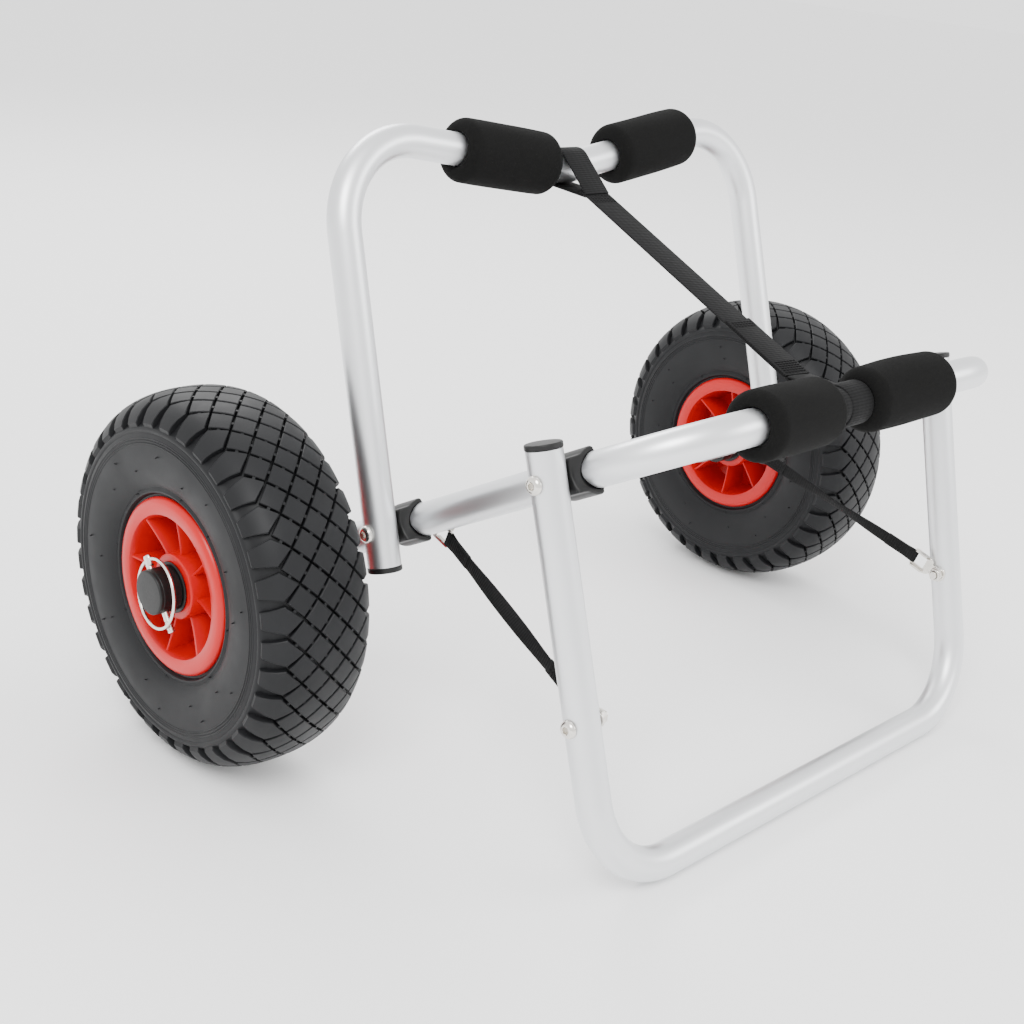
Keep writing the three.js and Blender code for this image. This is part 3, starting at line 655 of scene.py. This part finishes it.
def pad(node, body, centre, along, length, seed):
    """A foam sleeve with rounded ends and a slightly uneven skin."""
    half = length / 2
    radius, bore = 22.5, 12.1
    shoulder = 8.5
    outside = [(radius + 0.5 * (1 - (a / (half - shoulder)) ** 2), a)
               for a in (-(half - shoulder) + 2 * (half - shoulder) * k / 16 for k in range(17))]
    profile = [(bore, -half + 1.4), (bore + 0.7, -half + 0.3), (bore + 2, -half)]
    profile += arc((radius - shoulder, -half + shoulder), shoulder, -84, -6, 10)
    profile += outside
    profile += arc((radius - shoulder, half - shoulder), shoulder, 6, 84, 10)
    profile += [(bore + 2, half), (bore + 0.7, half - 0.3), (bore, half - 1.4)]
    place = basis(along, Z, centre)
    chance = random.Random(seed)
    waves = [
        (chance.randint(1, 4), chance.uniform(0.03, 0.09), chance.uniform(0, 6.3), chance.uniform(0.1, 0.25))
        for _ in range(7)
    ]
    segments = 72
    rings = []
    for r, a in profile:
        ring = []
        for i in range(segments):
            angle = 2 * math.pi * i / segments
            uneven = sum(
                size * math.sin(count * angle + rate * a + phase) for count, rate, phase, size in waves)
            distance = r + uneven * max(0.0, (r - bore - 3) / (radius - bore)) * 0.7
            ring.append(place @ Vector((distance * math.cos(angle), a, distance * math.sin(angle))))
        rings.append(ring)
    shape = Shape()
    shape.loft(rings, closed=True)
    piece = add_piece(shape, node, body, "foam", 60)


for index, (side_name, side) in enumerate(SIDES):
    corner = on_rear(side * REAR_TOP_X, REAR_LENGTH)
    centre, along = on_bar(REAR_MIDDLE, corner, (-64, 93)[index])
    pad(f"rear_pad_{side_name}", "rear_frame", centre, along, 90, 11 + index)
    corner = on_arm(side * ARM_X, ARM_LENGTH)
    centre, along = on_bar(FRONT_MIDDLE, corner, (-77, 53)[index])
    pad(f"front_pad_{side_name}", "chassis", centre, along, 84, 21 + index)


# ------------------------------------------------------------------ straps
def ribbon(shape, path, width, thickness, closed=False):
    """Webbing along a path of (point, direction of its width, direction of its face)."""
    half, thin = width / 2, thickness / 2
    section = [(-half, -thin * 0.5), (-half + 0.5, -thin), (half - 0.5, -thin), (half, -thin * 0.5),
               (half, thin * 0.5), (half - 0.5, thin), (-half + 0.5, thin), (-half, thin * 0.5)]
    rings = [[point + wide * a + face * b for a, b in section] for point, wide, face in path]
    shape.loft(rings, closed)


def straight_ribbon(start, end, wide, steps, twist=0.0):
    """Path points between two places; a twist turns the webbing about its length at its middle."""
    along = (end - start).normalized()
    face = along.cross(wide).normalized()
    wide = face.cross(along).normalized()
    path = []
    for k in range(steps + 1):
        turn = Matrix.Rotation(twist * math.sin(math.pi * k / steps) ** 2, 3, along)
        path.append((start.lerp(end, k / steps), turn @ wide, turn @ face))
    return path


def stitches(shape, centre, wide, along, face, columns, rows, pitch, length):
    """Short raised threads in rows across a strap."""
    for row in range(rows):
        for column in range(columns):
            middle = centre + wide * ((column - (columns - 1) / 2) * pitch[0])
            middle = middle + along * ((row - (rows - 1) / 2) * pitch[1])
            corners = []
            for height, size in ((-0.1, 1.0), (0.4, 0.6)):
                for a, b in ((-1, -1), (1, -1), (1, 1), (-1, 1)):
                    corners.append(middle + wide * (a * length * size / 2) + along * (b * 0.35 * size)
                                   + face * height)
            shape.block(corners)


def loop_around(shape, centre, axis, tip, radius, width, thickness):
    """Webbing that comes from a tip, goes round a bar and comes back to the tip."""
    away = tip - centre
    away = away - axis * away.dot(axis)
    distance = away.length
    forward = away.normalized()
    upward = forward.cross(axis).normalized()
    reach = math.acos(radius / distance)
    path = []
    for sign in (1, -1):
        start = centre + (forward * math.cos(reach) + upward * (math.sin(reach) * sign)) * radius
        run = [(start.lerp(tip + upward * (0.55 * thickness * sign), k / 8), axis,
                forward * math.cos(reach) + upward * (math.sin(reach) * sign)) for k in range(9)]
        path.append(run)
    steps = 30
    turn = []
    for k in range(steps + 1):
        angle = reach + (2 * math.pi - 2 * reach) * k / steps
        out = forward * math.cos(angle) + upward * math.sin(angle)
        turn.append((centre + out * radius, axis, out))
    ribbon(shape, list(reversed(path[0])) + turn[1:-1] + path[1], width, thickness)


def turn_round(shape, centre, axis, radius, width, thickness):
    """One closed turn of webbing round a bar."""
    upward = axis.cross(Y).normalized()
    forward = upward.cross(axis).normalized()
    path = []
    for k in range(40):
        angle = 2 * math.pi * k / 40
        out = forward * math.cos(angle) + upward * math.sin(angle)
        path.append((centre + out * radius, axis, out))
    ribbon(shape, path, width, thickness, closed=True)


def main_strap():
    """Webbing from the rear bar to the front bar, with its end doubled back and sewn near the front."""
    rear, _ = on_bar(REAR_MIDDLE, on_rear(REAR_TOP_X, REAR_LENGTH), MAIN_STRAP_X[0])
    rear += REAR * 0.9
    front, front_axis = on_bar(FRONT_MIDDLE, on_arm(-ARM_X, ARM_LENGTH), MAIN_STRAP_X[1])
    front_axis = -front_axis
    along = (front - rear).normalized()
    tip = rear + along * 40
    foot = front - along * 34
    wide = X - along * X.dot(along)
    wide.normalize()
    face = along.cross(wide).normalized()
    if face.z < 0:
        face.negate()
    shape = Shape()
    width, thick = MAIN_WEBBING
    loop_around(shape, rear, X, tip, TUBE_RADIUS + 1.1 + thick / 2, width, thick)
    loop_around(shape, front, front_axis, foot, TUBE_RADIUS + 0.3 + thick / 2, width, thick)
    sleeve = on_bar(FRONT_MIDDLE, on_arm(-ARM_X, ARM_LENGTH), -3.5)[0]
    turn_round(shape, sleeve, X, TUBE_RADIUS + 2.7, width, thick)
    ribbon(shape, straight_ribbon(tip - along * 6, foot + along * 6, wide, 40), width, thick)
    doubled = foot - along * 62
    over = straight_ribbon(doubled + face * thick, foot + face * (0.9 * thick), wide, 12)
    ribbon(shape, over, width - 0.4, thick)
    seams = ((tip + along * 5, 6, 0.5), (foot - along * 8, 6, 1.5), (doubled + along * 6, 3, 1.5))
    for place, count, surface in seams:
        stitches(shape, place + face * (thick * surface), wide, along, face, 7, count, (3.1, 2.2), 2.4)
    piece = shape.make("main_strap_look", LOOKS["webbing"], 40)
    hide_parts("main_strap")
    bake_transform(piece)


def side_strap(side_name, side):
    """Narrow webbing, doubled and sewn where it loops round each bracket's far bar."""
    start = Vector((side * ARM_BRACKET_X, REAR_PIVOT.y, REAR_PIVOT.z)) + STRAP * STRAP_BAR_REACH
    end = Vector((side * STAND_BRACKET_X, STRAP_BOLT.y, STRAP_BOLT.z)) - STRAP * STRAP_BAR_REACH
    along = (end - start).normalized()
    wide = along.cross(X).normalized()
    face = wide.cross(along).normalized()
    shape = Shape()
    width, thick = SIDE_WEBBING
    inner, flat = 1.7, 0.62         # from the middle to each layer: at the bar, and where they meet
    stations = (3, 6, 9, 14, 20, 26)

    def offset(a):
        return inner * (1 - a / 9) + flat * a / 9 if a < 9 else flat

    for place, direction in ((start, along), (end, -along)):
        path = []
        for k in range(13):
            angle = math.pi / 2 + math.pi * k / 12
            out = direction * math.cos(angle) + face * math.sin(angle)
            path.append((place + out * inner, wide, out))
        tail = [(place + direction * a + face * offset(a), wide, face) for a in reversed(stations)]
        back = [(place + direction * a - face * offset(a), wide, -face) for a in stations]
        ribbon(shape, tail + path + back, width, thick)
        for sign in (-1, 1):
            surface = place + direction * 17 + face * (sign * 1.17)
            stitches(shape, surface, wide, along, face * sign, 3, 5, (2.6, 2.4), 1.8)
    path = straight_ribbon(start + along * 22, end - along * 22, wide, 40, side * math.radians(35))
    ribbon(shape, path, 9.6, 1.2)
    name = f"side_strap_{side_name}"
    piece = shape.make(f"{name}_look", LOOKS["webbing"], 40)
    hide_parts(name)
    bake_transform(piece)


main_strap()
for side_name, side in SIDES:
    side_strap(side_name, side)


# ------------------------------------------------------------------ tyres
# (across, radius), from the middle of the tread to the lugs' outer ends
TREAD_SURFACE = [(0, 129.5), (8, 129.3), (16, 128.4), (24, 126.4), (31, 123.2), (36.5, 118.8), (40.4, 113.4),
                 (42.4, 108.0)]


class TreadMap:
    """Places points on the tread: an angle, a distance from the tread's middle line and a depth."""

    def __init__(self):
        self.lengths = [0.0]
        for (a0, r0), (a1, r1) in zip(TREAD_SURFACE, TREAD_SURFACE[1:]):
            self.lengths.append(self.lengths[-1] + math.hypot(a1 - a0, r1 - r0))

    def section(self, distance):
        """(across, radius) and the outward direction there."""
        d = min(abs(distance), self.lengths[-1] - 1e-6)
        i = max(k for k, value in enumerate(self.lengths[:-1]) if value <= d)
        t = (d - self.lengths[i]) / (self.lengths[i + 1] - self.lengths[i])

        def tangent(k):
            low, high = max(0, k - 1), min(len(TREAD_SURFACE) - 1, k + 1)
            run = Vector(TREAD_SURFACE[high]) - Vector(TREAD_SURFACE[low])
            return Vector((1, 0)) if k == 0 else run.normalized()

        span = self.lengths[i + 1] - self.lengths[i]
        p0, p1 = Vector(TREAD_SURFACE[i]), Vector(TREAD_SURFACE[i + 1])
        m0, m1 = tangent(i) * span, tangent(i + 1) * span
        point = (p0 * (2 * t ** 3 - 3 * t ** 2 + 1) + m0 * (t ** 3 - 2 * t ** 2 + t)
                 + p1 * (-2 * t ** 3 + 3 * t ** 2) + m1 * (t ** 3 - t ** 2))
        run = (tangent(i) * (1 - t) + tangent(i + 1) * t).normalized()
        sign = 1 if distance >= 0 else -1
        return point.x * sign, point.y, Vector((-run.y * sign, run.x))

    def at(self, centre, angle, distance, depth):
        across, radius, outward = self.section(distance)
        across -= outward.x * depth
        radius -= outward.y * depth
        return centre + Vector((across, radius * math.cos(angle), radius * math.sin(angle)))


TREAD = TreadMap()
TREAD_DEPTH = 4.2
HALF_PITCH = math.pi / TREAD_PITCHES
ROW = 10.6                          # half of a diamond across the tread


def lump(shape, centre, corners, chamfer=0.45, subdivide=4):
    """A block on the tread from four corners (angle, distance), with softened edges and slanted walls."""
    middle = (sum(c[0] for c in corners) / 4, sum(c[1] for c in corners) / 4)
    reach = TYRE_MEAN_RADIUS

    def inset(amount):
        moved = []
        for angle, distance in corners:
            u, v = (angle - middle[0]) * reach, distance - middle[1]
            scale = 1 - amount / max(1e-6, math.hypot(u, v) * 0.7)
            moved.append((middle[0] + u * scale / reach, middle[1] + v * scale))
        return moved

    def border(outline):
        points = []
        for k in range(4):
            a, b = outline[k], outline[(k + 1) % 4]
            for s in range(subdivide):
                t = s / subdivide
                points.append((a[0] + (b[0] - a[0]) * t, a[1] + (b[1] - a[1]) * t))
        return points

    rings = []
    for amount, depth in ((-0.5, TREAD_DEPTH + 1.2), (0, chamfer), (chamfer, 0)):
        rings.append([TREAD.at(centre, angle, distance, depth) for angle, distance in border(inset(amount))])
    shape.loft(rings)
    # The top face follows the tread's curve instead of spanning it as one flat face.
    top = shape.faces.pop()
    shape.uvs.pop()
    outline = inset(chamfer)
    grid = {}
    for i in range(subdivide + 1):
        for j in range(subdivide + 1):
            u, v = i / subdivide, j / subdivide
            near = [outline[0][k] + (outline[1][k] - outline[0][k]) * u for k in (0, 1)]
            far = [outline[3][k] + (outline[2][k] - outline[3][k]) * u for k in (0, 1)]
            spot = [near[k] + (far[k] - near[k]) * v for k in (0, 1)]
            edge = edge_index(i, j, subdivide)
            if edge is None:
                grid[i, j] = len(shape.points)
                shape.points.append(TREAD.at(centre, spot[0], spot[1], 0))
            else:
                grid[i, j] = top[edge]
    for i in range(subdivide):
        for j in range(subdivide):
            shape.add_face((grid[i, j], grid[i + 1, j], grid[i + 1, j + 1], grid[i, j + 1]))


def edge_index(i, j, n):
    """Where a grid's border point stands in the ring of 4n points round it."""
    if j == 0 and i < n:
        return i
    if i == n and j < n:
        return n + j
    if j == n and i > 0:
        return 2 * n + (n - i)
    if i == 0 and j > 0:
        return 3 * n + (n - j)
    return None


TYRE_MEAN_RADIUS = 128.0
GROOVE = 0.85                       # half of the gap between two blocks


def tread(shape, centre, phase):
    for step in range(TREAD_PITCHES):
        for column in range(-2, 3):
            angle = phase + (2 * step + (column % 2)) * HALF_PITCH
            middle = column * ROW
            short_u = HALF_PITCH - GROOVE * 1.42 / TYRE_MEAN_RADIUS
            short_v = ROW - GROOVE * 1.42
            lump(shape, centre, [(angle - short_u, middle), (angle, middle - short_v),
                                 (angle + short_u, middle), (angle, middle + short_v)])
            # Low ties cross the grooves at the middle of the block's forward edges.
            for way in (-1, 1):
                tie(shape, centre, angle + HALF_PITCH / 2, middle + way * ROW / 2, way)
        for way in (-1, 1):
            shoulder_lug(shape, centre, phase + (2 * step + 1) * HALF_PITCH, way)


def tie(shape, centre, angle, distance, way):
    corners = []
    for depth in (TREAD_DEPTH + 0.5, 0.8):
        for a, b in ((-1, -1), (1, -1), (1, 1), (-1, 1)):
            u = (a * 1.0 * way + b * 1.1) * 0.7071
            v = (-a * 1.0 + b * 1.1 * way) * 0.7071
            corners.append(TREAD.at(centre, angle + u / TYRE_MEAN_RADIUS, distance + v, depth))
    shape.block(corners)


def shoulder_lug(shape, centre, angle, way):
    """A wide lug from the outer diamonds down to the sidewall, with a pointed inner end."""
    inner = 2 * ROW + GROOVE * 1.42
    end = TREAD.lengths[-1]
    half = HALF_PITCH - GROOVE * 1.2 / TYRE_MEAN_RADIUS
    stations = [(inner, 0.04), (inner + ROW * 0.5, 0.53), (inner + ROW * 0.92, 0.93), (inner + 16, 0.80),
                (inner + 22, 0.68), (end - 3, 0.62), (end, 0.62)]
    rings = []
    for index, (distance, share) in enumerate(stations):
        d = way * min(distance, end)
        spread = half * share
        last = index >= len(stations) - 1
        rise = TREAD_DEPTH * (0.55 if last else 0.0)
        ring = []
        for sideways, depth in ((-1.08, TREAD_DEPTH + 1.0), (-1.0, 0.5 + rise), (-0.92, rise), (-0.45, rise),
                                (0.0, rise), (0.45, rise), (0.92, rise), (1.0, 0.5 + rise),
                                (1.08, TREAD_DEPTH + 1.0), (0.5, TREAD_DEPTH + 1.2), (0, TREAD_DEPTH + 1.2),
                                (-0.5, TREAD_DEPTH + 1.2)):
            ring.append(TREAD.at(centre, angle + sideways * spread, d, depth))
        rings.append(ring)
    shape.loft(rings)


def carcass_profile():
    """The closed section [radius, across] of the tyre without its tread blocks."""
    half = []
    steps = 24
    for k in range(steps + 1):
        across, radius, outward = TREAD.section(0.88 * TREAD.lengths[-1] * k / steps)
        half.append((radius - outward.y * TREAD_DEPTH, across - outward.x * TREAD_DEPTH))
    # Sidewall: an edge ring under the lugs, three fine rings, then the bead's ridge.
    half += [(110.2, 37.6), (109.0, 39.4), (108.0, 40.7), (106.6, 41.2), (105.4, 41.1), (104.6, 40.6),
             (103.6, 41.0)]
    for ring_radius in (101.2, 99.4, 97.6):
        half += [(ring_radius + 0.6, 41.35), (ring_radius + 0.2, 41.8), (ring_radius - 0.2, 41.8),
                 (ring_radius - 0.6, 41.45)]
    half += [(92, 41.7), (86, 41.5), (80, 40.6), (75, 39.4), (71, 37.9), (68.5, 36.3), (67.3, 35.4),
             (66.2, 35.7), (65, 36.3), (63.9, 36.0), (63.2, 34.6), (62.6, 33.4), (61, 33.0), (55, 32.8),
             (53.8, 32.0), (53.6, 30), (53.6, 26), (56, 25)]
    inside = [(66, 27), (80, 34), (98, 35), (113, 28), (121, 10)]
    section = half + inside
    mirror = [(r, -a) for r, a in reversed(section)]
    return section + mirror[:-1]


def tyre(node, body, side, seed):
    centre = Vector((side * WHEEL_X, AXLE.y, AXLE.z))
    shape = Shape()
    place = basis(X, Z, centre)
    shape.turned(carcass_profile(), place, 4 * TREAD_PITCHES, closed=True)
    tread(shape, centre, 0.02 * seed)
    chance = random.Random(seed)
    for way in (-1, 1):
        for radius, count in ((79.5, 10), (66.6, 8), (90.5, 9)):
            for k in range(count):
                angle = 2 * math.pi * (k + chance.uniform(-0.25, 0.25)) / count
                nib(shape, centre, way, radius, angle, chance)
    add_piece(shape, node, body, "tyre_rubber", 35)


def nib(shape, centre, way, radius, angle, chance):
    """A short rubber thread left by a vent of the tyre's mould."""
    foot_across = {79.5: 40.2, 66.6: 35.4, 90.5: 41.6}[radius]
    out = Vector((0, math.cos(angle), math.sin(angle)))
    foot = centre + out * radius + X * (way * foot_across)
    lean = (X * way + out * chance.uniform(-0.5, 0.5)).normalized()
    place = basis(lean, Z if abs(lean.z) < 0.9 else Y, foot)
    length = chance.uniform(1.3, 2.4)
    shape.turned([(0.6, -0.6), (0.5, 0.3), (0.4, length * 0.7), (0.2, length)], place, 6)


# ------------------------------------------------------------------ wheels
def rim(node, body, side):
    centre = Vector((side * WHEEL_X, AXLE.y, AXLE.z))
    half = [(14.65, 33.6), (15.1, 34), (21.2, 34), (22.2, 33.3), (22.7, 32), (23.6, 12), (25.4, 7.6),
            (28, 6.4), (42, 6.4), (44.6, 7.6), (46.0, 11), (48.0, 31), (48.6, 35.2), (49.4, 36.9),
            (50.6, 37.5), (56.4, 37.6), (58.6, 37.1), (60.2, 35.8), (61, 33.9), (61.0, 32.6),
            (60.4, 32.0), (56, 31.8), (53, 31.6), (52.4, 30.6), (52.4, 27), (51.2, 23), (51.0, 12)]
    profile = half + [(r, -a) for r, a in reversed(half)]
    shape = Shape()
    shape.turned(profile, basis(X, Z, centre), 96, closed=True)
    first = RIB_TURN if side < 0 else math.pi - RIB_TURN
    for way in (-1, 1):
        for k in range(RIB_COUNT):
            rib(shape, centre, way, first + k * (2 * math.pi / RIB_COUNT))
    add_piece(shape, node, body, "red_rim", 30)


def rib(shape, centre, way, angle):
    """A gusset from the hub to the rim's inner wall; its free edge slopes and is rounded."""
    out = Vector((0, math.cos(angle), math.sin(angle)))
    sideways = out.cross(X).normalized()
    rings = []
    for radius, top in ((21.6, 29.8), (25, 30.0), (31, 31.0), (37, 32.3), (43, 33.8), (49.2, 35.4)):
        ring = []
        for across, height in ((-1.6, 4.0), (-0.95, top - 0.8), (-0.65, top - 0.2), (0, top),
                               (0.65, top - 0.2), (0.95, top - 0.8), (1.6, 4.0)):
            ring.append(centre + out * radius + sideways * across + X * (way * height))
        rings.append(ring)
    shape.loft(rings)


def inner_tube(node, body, side):
    centre = Vector((side * WHEEL_X, AXLE.y, AXLE.z))
    shape = Shape()
    ring_radius, size = 92, 24
    section = [(ring_radius + size * math.cos(a), size * math.sin(a))
               for a in (2 * math.pi * i / 32 for i in range(32))]
    shape.turned(section, basis(X, Z, centre), 96, closed=True)
    # The valve slants inboard, past the hub; its stem is rubber and its top is a smooth cap above a narrow
    # neck.
    direction = Vector((-0.42 * side, 0, -1)).normalized()
    start = centre + Vector((-18 * side, 0, 54)) - direction * 20
    profile = [(4.6, -2), (4.4, 4), (3.9, 12), (3.6, 26), (3.6, 30), (3.0, 30.6), (3.0, 31.5), (3.5, 31.8),
               (3.5, 38.5), (3.1, 39.6), (1.5, 40)]
    shape.turned(profile, basis(direction, X, start), 24)
    add_piece(shape, node, body, "tube_rubber", 35)


def bush(node, body, outward, face_x):
    shape = Shape()
    profile = [(11.95, -18), (14.2, -18), (14.2, 0.3), (17.1, 0.3), (17.5, 0.6), (17.5, 1.4), (17.1, 1.8),
               (12.5, 1.8), (11.95, 1.3)]
    shape.turned(profile, basis(outward, Z, Vector((face_x, AXLE.y, AXLE.z))), 48, closed=True)
    add_piece(shape, node, body, "nylon")


def spacer(node, inward, start_x, length):
    shape = Shape()
    profile = [(11.95, 0), (14.6, 0), (14.95, 0.4), (14.95, length - 0.4), (14.6, length), (11.95, length)]
    shape.turned(profile, basis(inward, Z, Vector((start_x, AXLE.y, AXLE.z))), 48, closed=True)
    add_piece(shape, node, "chassis", "nylon")


def axle_cap(node, side):
    """A moulded cap over the axle's end, with a faint parting step near its face."""
    shape = Shape()
    profile = [(11.95, -16.4), (14.9, -16.4), (15.3, -16), (15.3, -3.2), (15.1, -2.9), (15.1, -1.5)]
    profile += arc((13.8, -1.3), 1.3, 0, 90, 6) + [(6, 0.0), (1.5, 0.0)]
    shape.turned(profile, basis(X * side, Z, Vector((side * AXLE_END_X, AXLE.y, AXLE.z))), 64)
    add_piece(shape, node, "chassis", "black_plastic")


def lock_pin(node, body, side):
    """A pin with a flattened head, grooves near its end and a collar where it enters the cap."""
    place = basis(PIN, X, Vector((side * PIN_X, AXLE.y, AXLE.z)))
    shape = Shape()
    profile = [(1.4, -29.5), (2.2, -29.2), (2.5, -28.4)]
    for k in range(4):
        top = -27.4 + 1.9 * k
        profile += [(2.5, top - 0.5), (2.15, top - 0.2), (2.15, top + 0.3), (2.5, top + 0.6)]
    profile += [(2.5, 14.9), (2.5, 17.6)]
    shape.turned(profile, place, 28)
    rings = []
    for height, wide, thick in ((16.6, 2.4, 2.4), (17.6, 3.0, 2.6), (18.6, 3.4, 2.3), (21.5, 3.5, 2.2),
                                (23.4, 3.4, 2.2), (24.3, 3.0, 1.9), (24.7, 2.2, 1.3)):
        rings.append([place @ Vector((wide * math.cos(a), height, thick * math.sin(a)))
                      for a in (2 * math.pi * i / 28 for i in range(28))])
    shape.loft(rings)
    add_piece(shape, node, body, "steel", 34)


def lock_ring(node, body, side):
    """A wire ring that hangs from the pin's head and leans outward over the pin's lower end."""
    radius, wire = 23.3, 1.2
    lean = math.asin((2.5 + wire + 0.6) / (2 * radius))
    head = Vector((side * PIN_X, AXLE.y, AXLE.z)) + PIN * PIN_HINGE
    turn = Matrix.Rotation(-side * lean, 3, RING_AXIS)
    down = turn @ (-PIN)
    centre = head + down * radius
    normal = down.cross(RING_AXIS)
    rings = []
    for i in range(96):
        angle = 2 * math.pi * i / 96
        out = down * math.cos(angle) + RING_AXIS * math.sin(angle)
        rings.append([centre + out * (radius + wire * math.cos(b)) + normal * (wire * math.sin(b))
                      for b in (2 * math.pi * j / 16 for j in range(16))])
    shape = Shape()
    shape.loft(rings, closed=True)
    add_piece(shape, node, body, "steel", 60)


for index, (side_name, side) in enumerate(SIDES):
    wheel = f"wheel_{side_name}"
    tyre(f"tyre_{side_name}", wheel, side, 3 + index)
    inner_tube(f"inner_tube_{side_name}", wheel, side)
    rim(f"rim_{side_name}", wheel, side)
    bush(f"outer_bush_{side_name}", wheel, X * side, side * (WHEEL_X + HUB_HALF_LENGTH))
    bush(f"inner_bush_{side_name}", wheel, X * -side, side * (WHEEL_X - HUB_HALF_LENGTH))
    spacer(f"axle_spacer_{side_name}", X * -side, side * SPACER_START_X, SPACER_LENGTH)
    axle_cap(f"axle_cap_{side_name}", side)
    lock_pin(f"lock_pin_{side_name}", f"lock_pin_{side_name}", side)
    lock_ring(f"lock_ring_{side_name}", f"lock_ring_{side_name}", side)


# ------------------------------------------------------------------ floor, light and camera
def floor():
    mesh = bpy.data.meshes.new("floor")
    size = 14
    corners = [(-size, -size, 0), (size, -size, 0), (size, size, 0), (-size, size, 0)]
    mesh.from_pydata(corners, [], [(0, 1, 2, 3)])
    look = Look("floor", (0.96, 0.96, 0.96), 0.8)
    mesh.materials.append(look.material)
    made = bpy.data.objects.new("floor", mesh)
    bpy.context.scene.collection.objects.link(made)
    made.location.z = -0.0004


def softbox(name, place, target, size, power):
    light = bpy.data.lights.new(name, "AREA")
    light.shape = "RECTANGLE"
    light.size, light.size_y = size
    light.energy = power
    made = bpy.data.objects.new(name, light)
    made.location = place
    made.rotation_euler = (Vector(target) - Vector(place)).to_track_quat("-Z", "Y").to_euler()
    bpy.context.scene.collection.objects.link(made)


floor()
softbox("key", (-1.6, -1.0, 2.2), (0, 0, 0.2), (1.2, 1.2), 60)
softbox("fill", (1.4, -1.8, 1.3), (0, 0, 0.2), (1.4, 0.9), 20)
softbox("back", (0.6, 2.0, 1.9), (0, 0, 0.2), (1.6, 0.7), 34)

world = bpy.data.worlds.new("studio")
world.use_nodes = True
world.node_tree.nodes["Background"].inputs["Color"].default_value = (1, 1, 1, 1)
world.node_tree.nodes["Background"].inputs["Strength"].default_value = 1.9
bpy.context.scene.world = world

camera = bpy.data.objects.new("camera", bpy.data.cameras.new("camera"))
bpy.context.scene.collection.objects.link(camera)
bpy.context.scene.camera = camera
camera.data.sensor_width = 36
camera.data.lens = 52.21
YAW, PITCH, ROLL = 0.81593, 0.379257, 0.112767
ahead = Vector((math.sin(YAW) * math.cos(PITCH), math.cos(YAW) * math.cos(PITCH), -math.sin(PITCH)))
level = Vector((math.cos(YAW), -math.sin(YAW), 0))
upright = level.cross(ahead)
right = level * math.cos(ROLL) + upright * math.sin(ROLL)
top = -level * math.sin(ROLL) + upright * math.cos(ROLL)
pose = Matrix((right, top, -ahead)).transposed().to_4x4()
pose.translation = Vector((-0.830539, -0.675958, 0.563050))
camera.matrix_world = pose
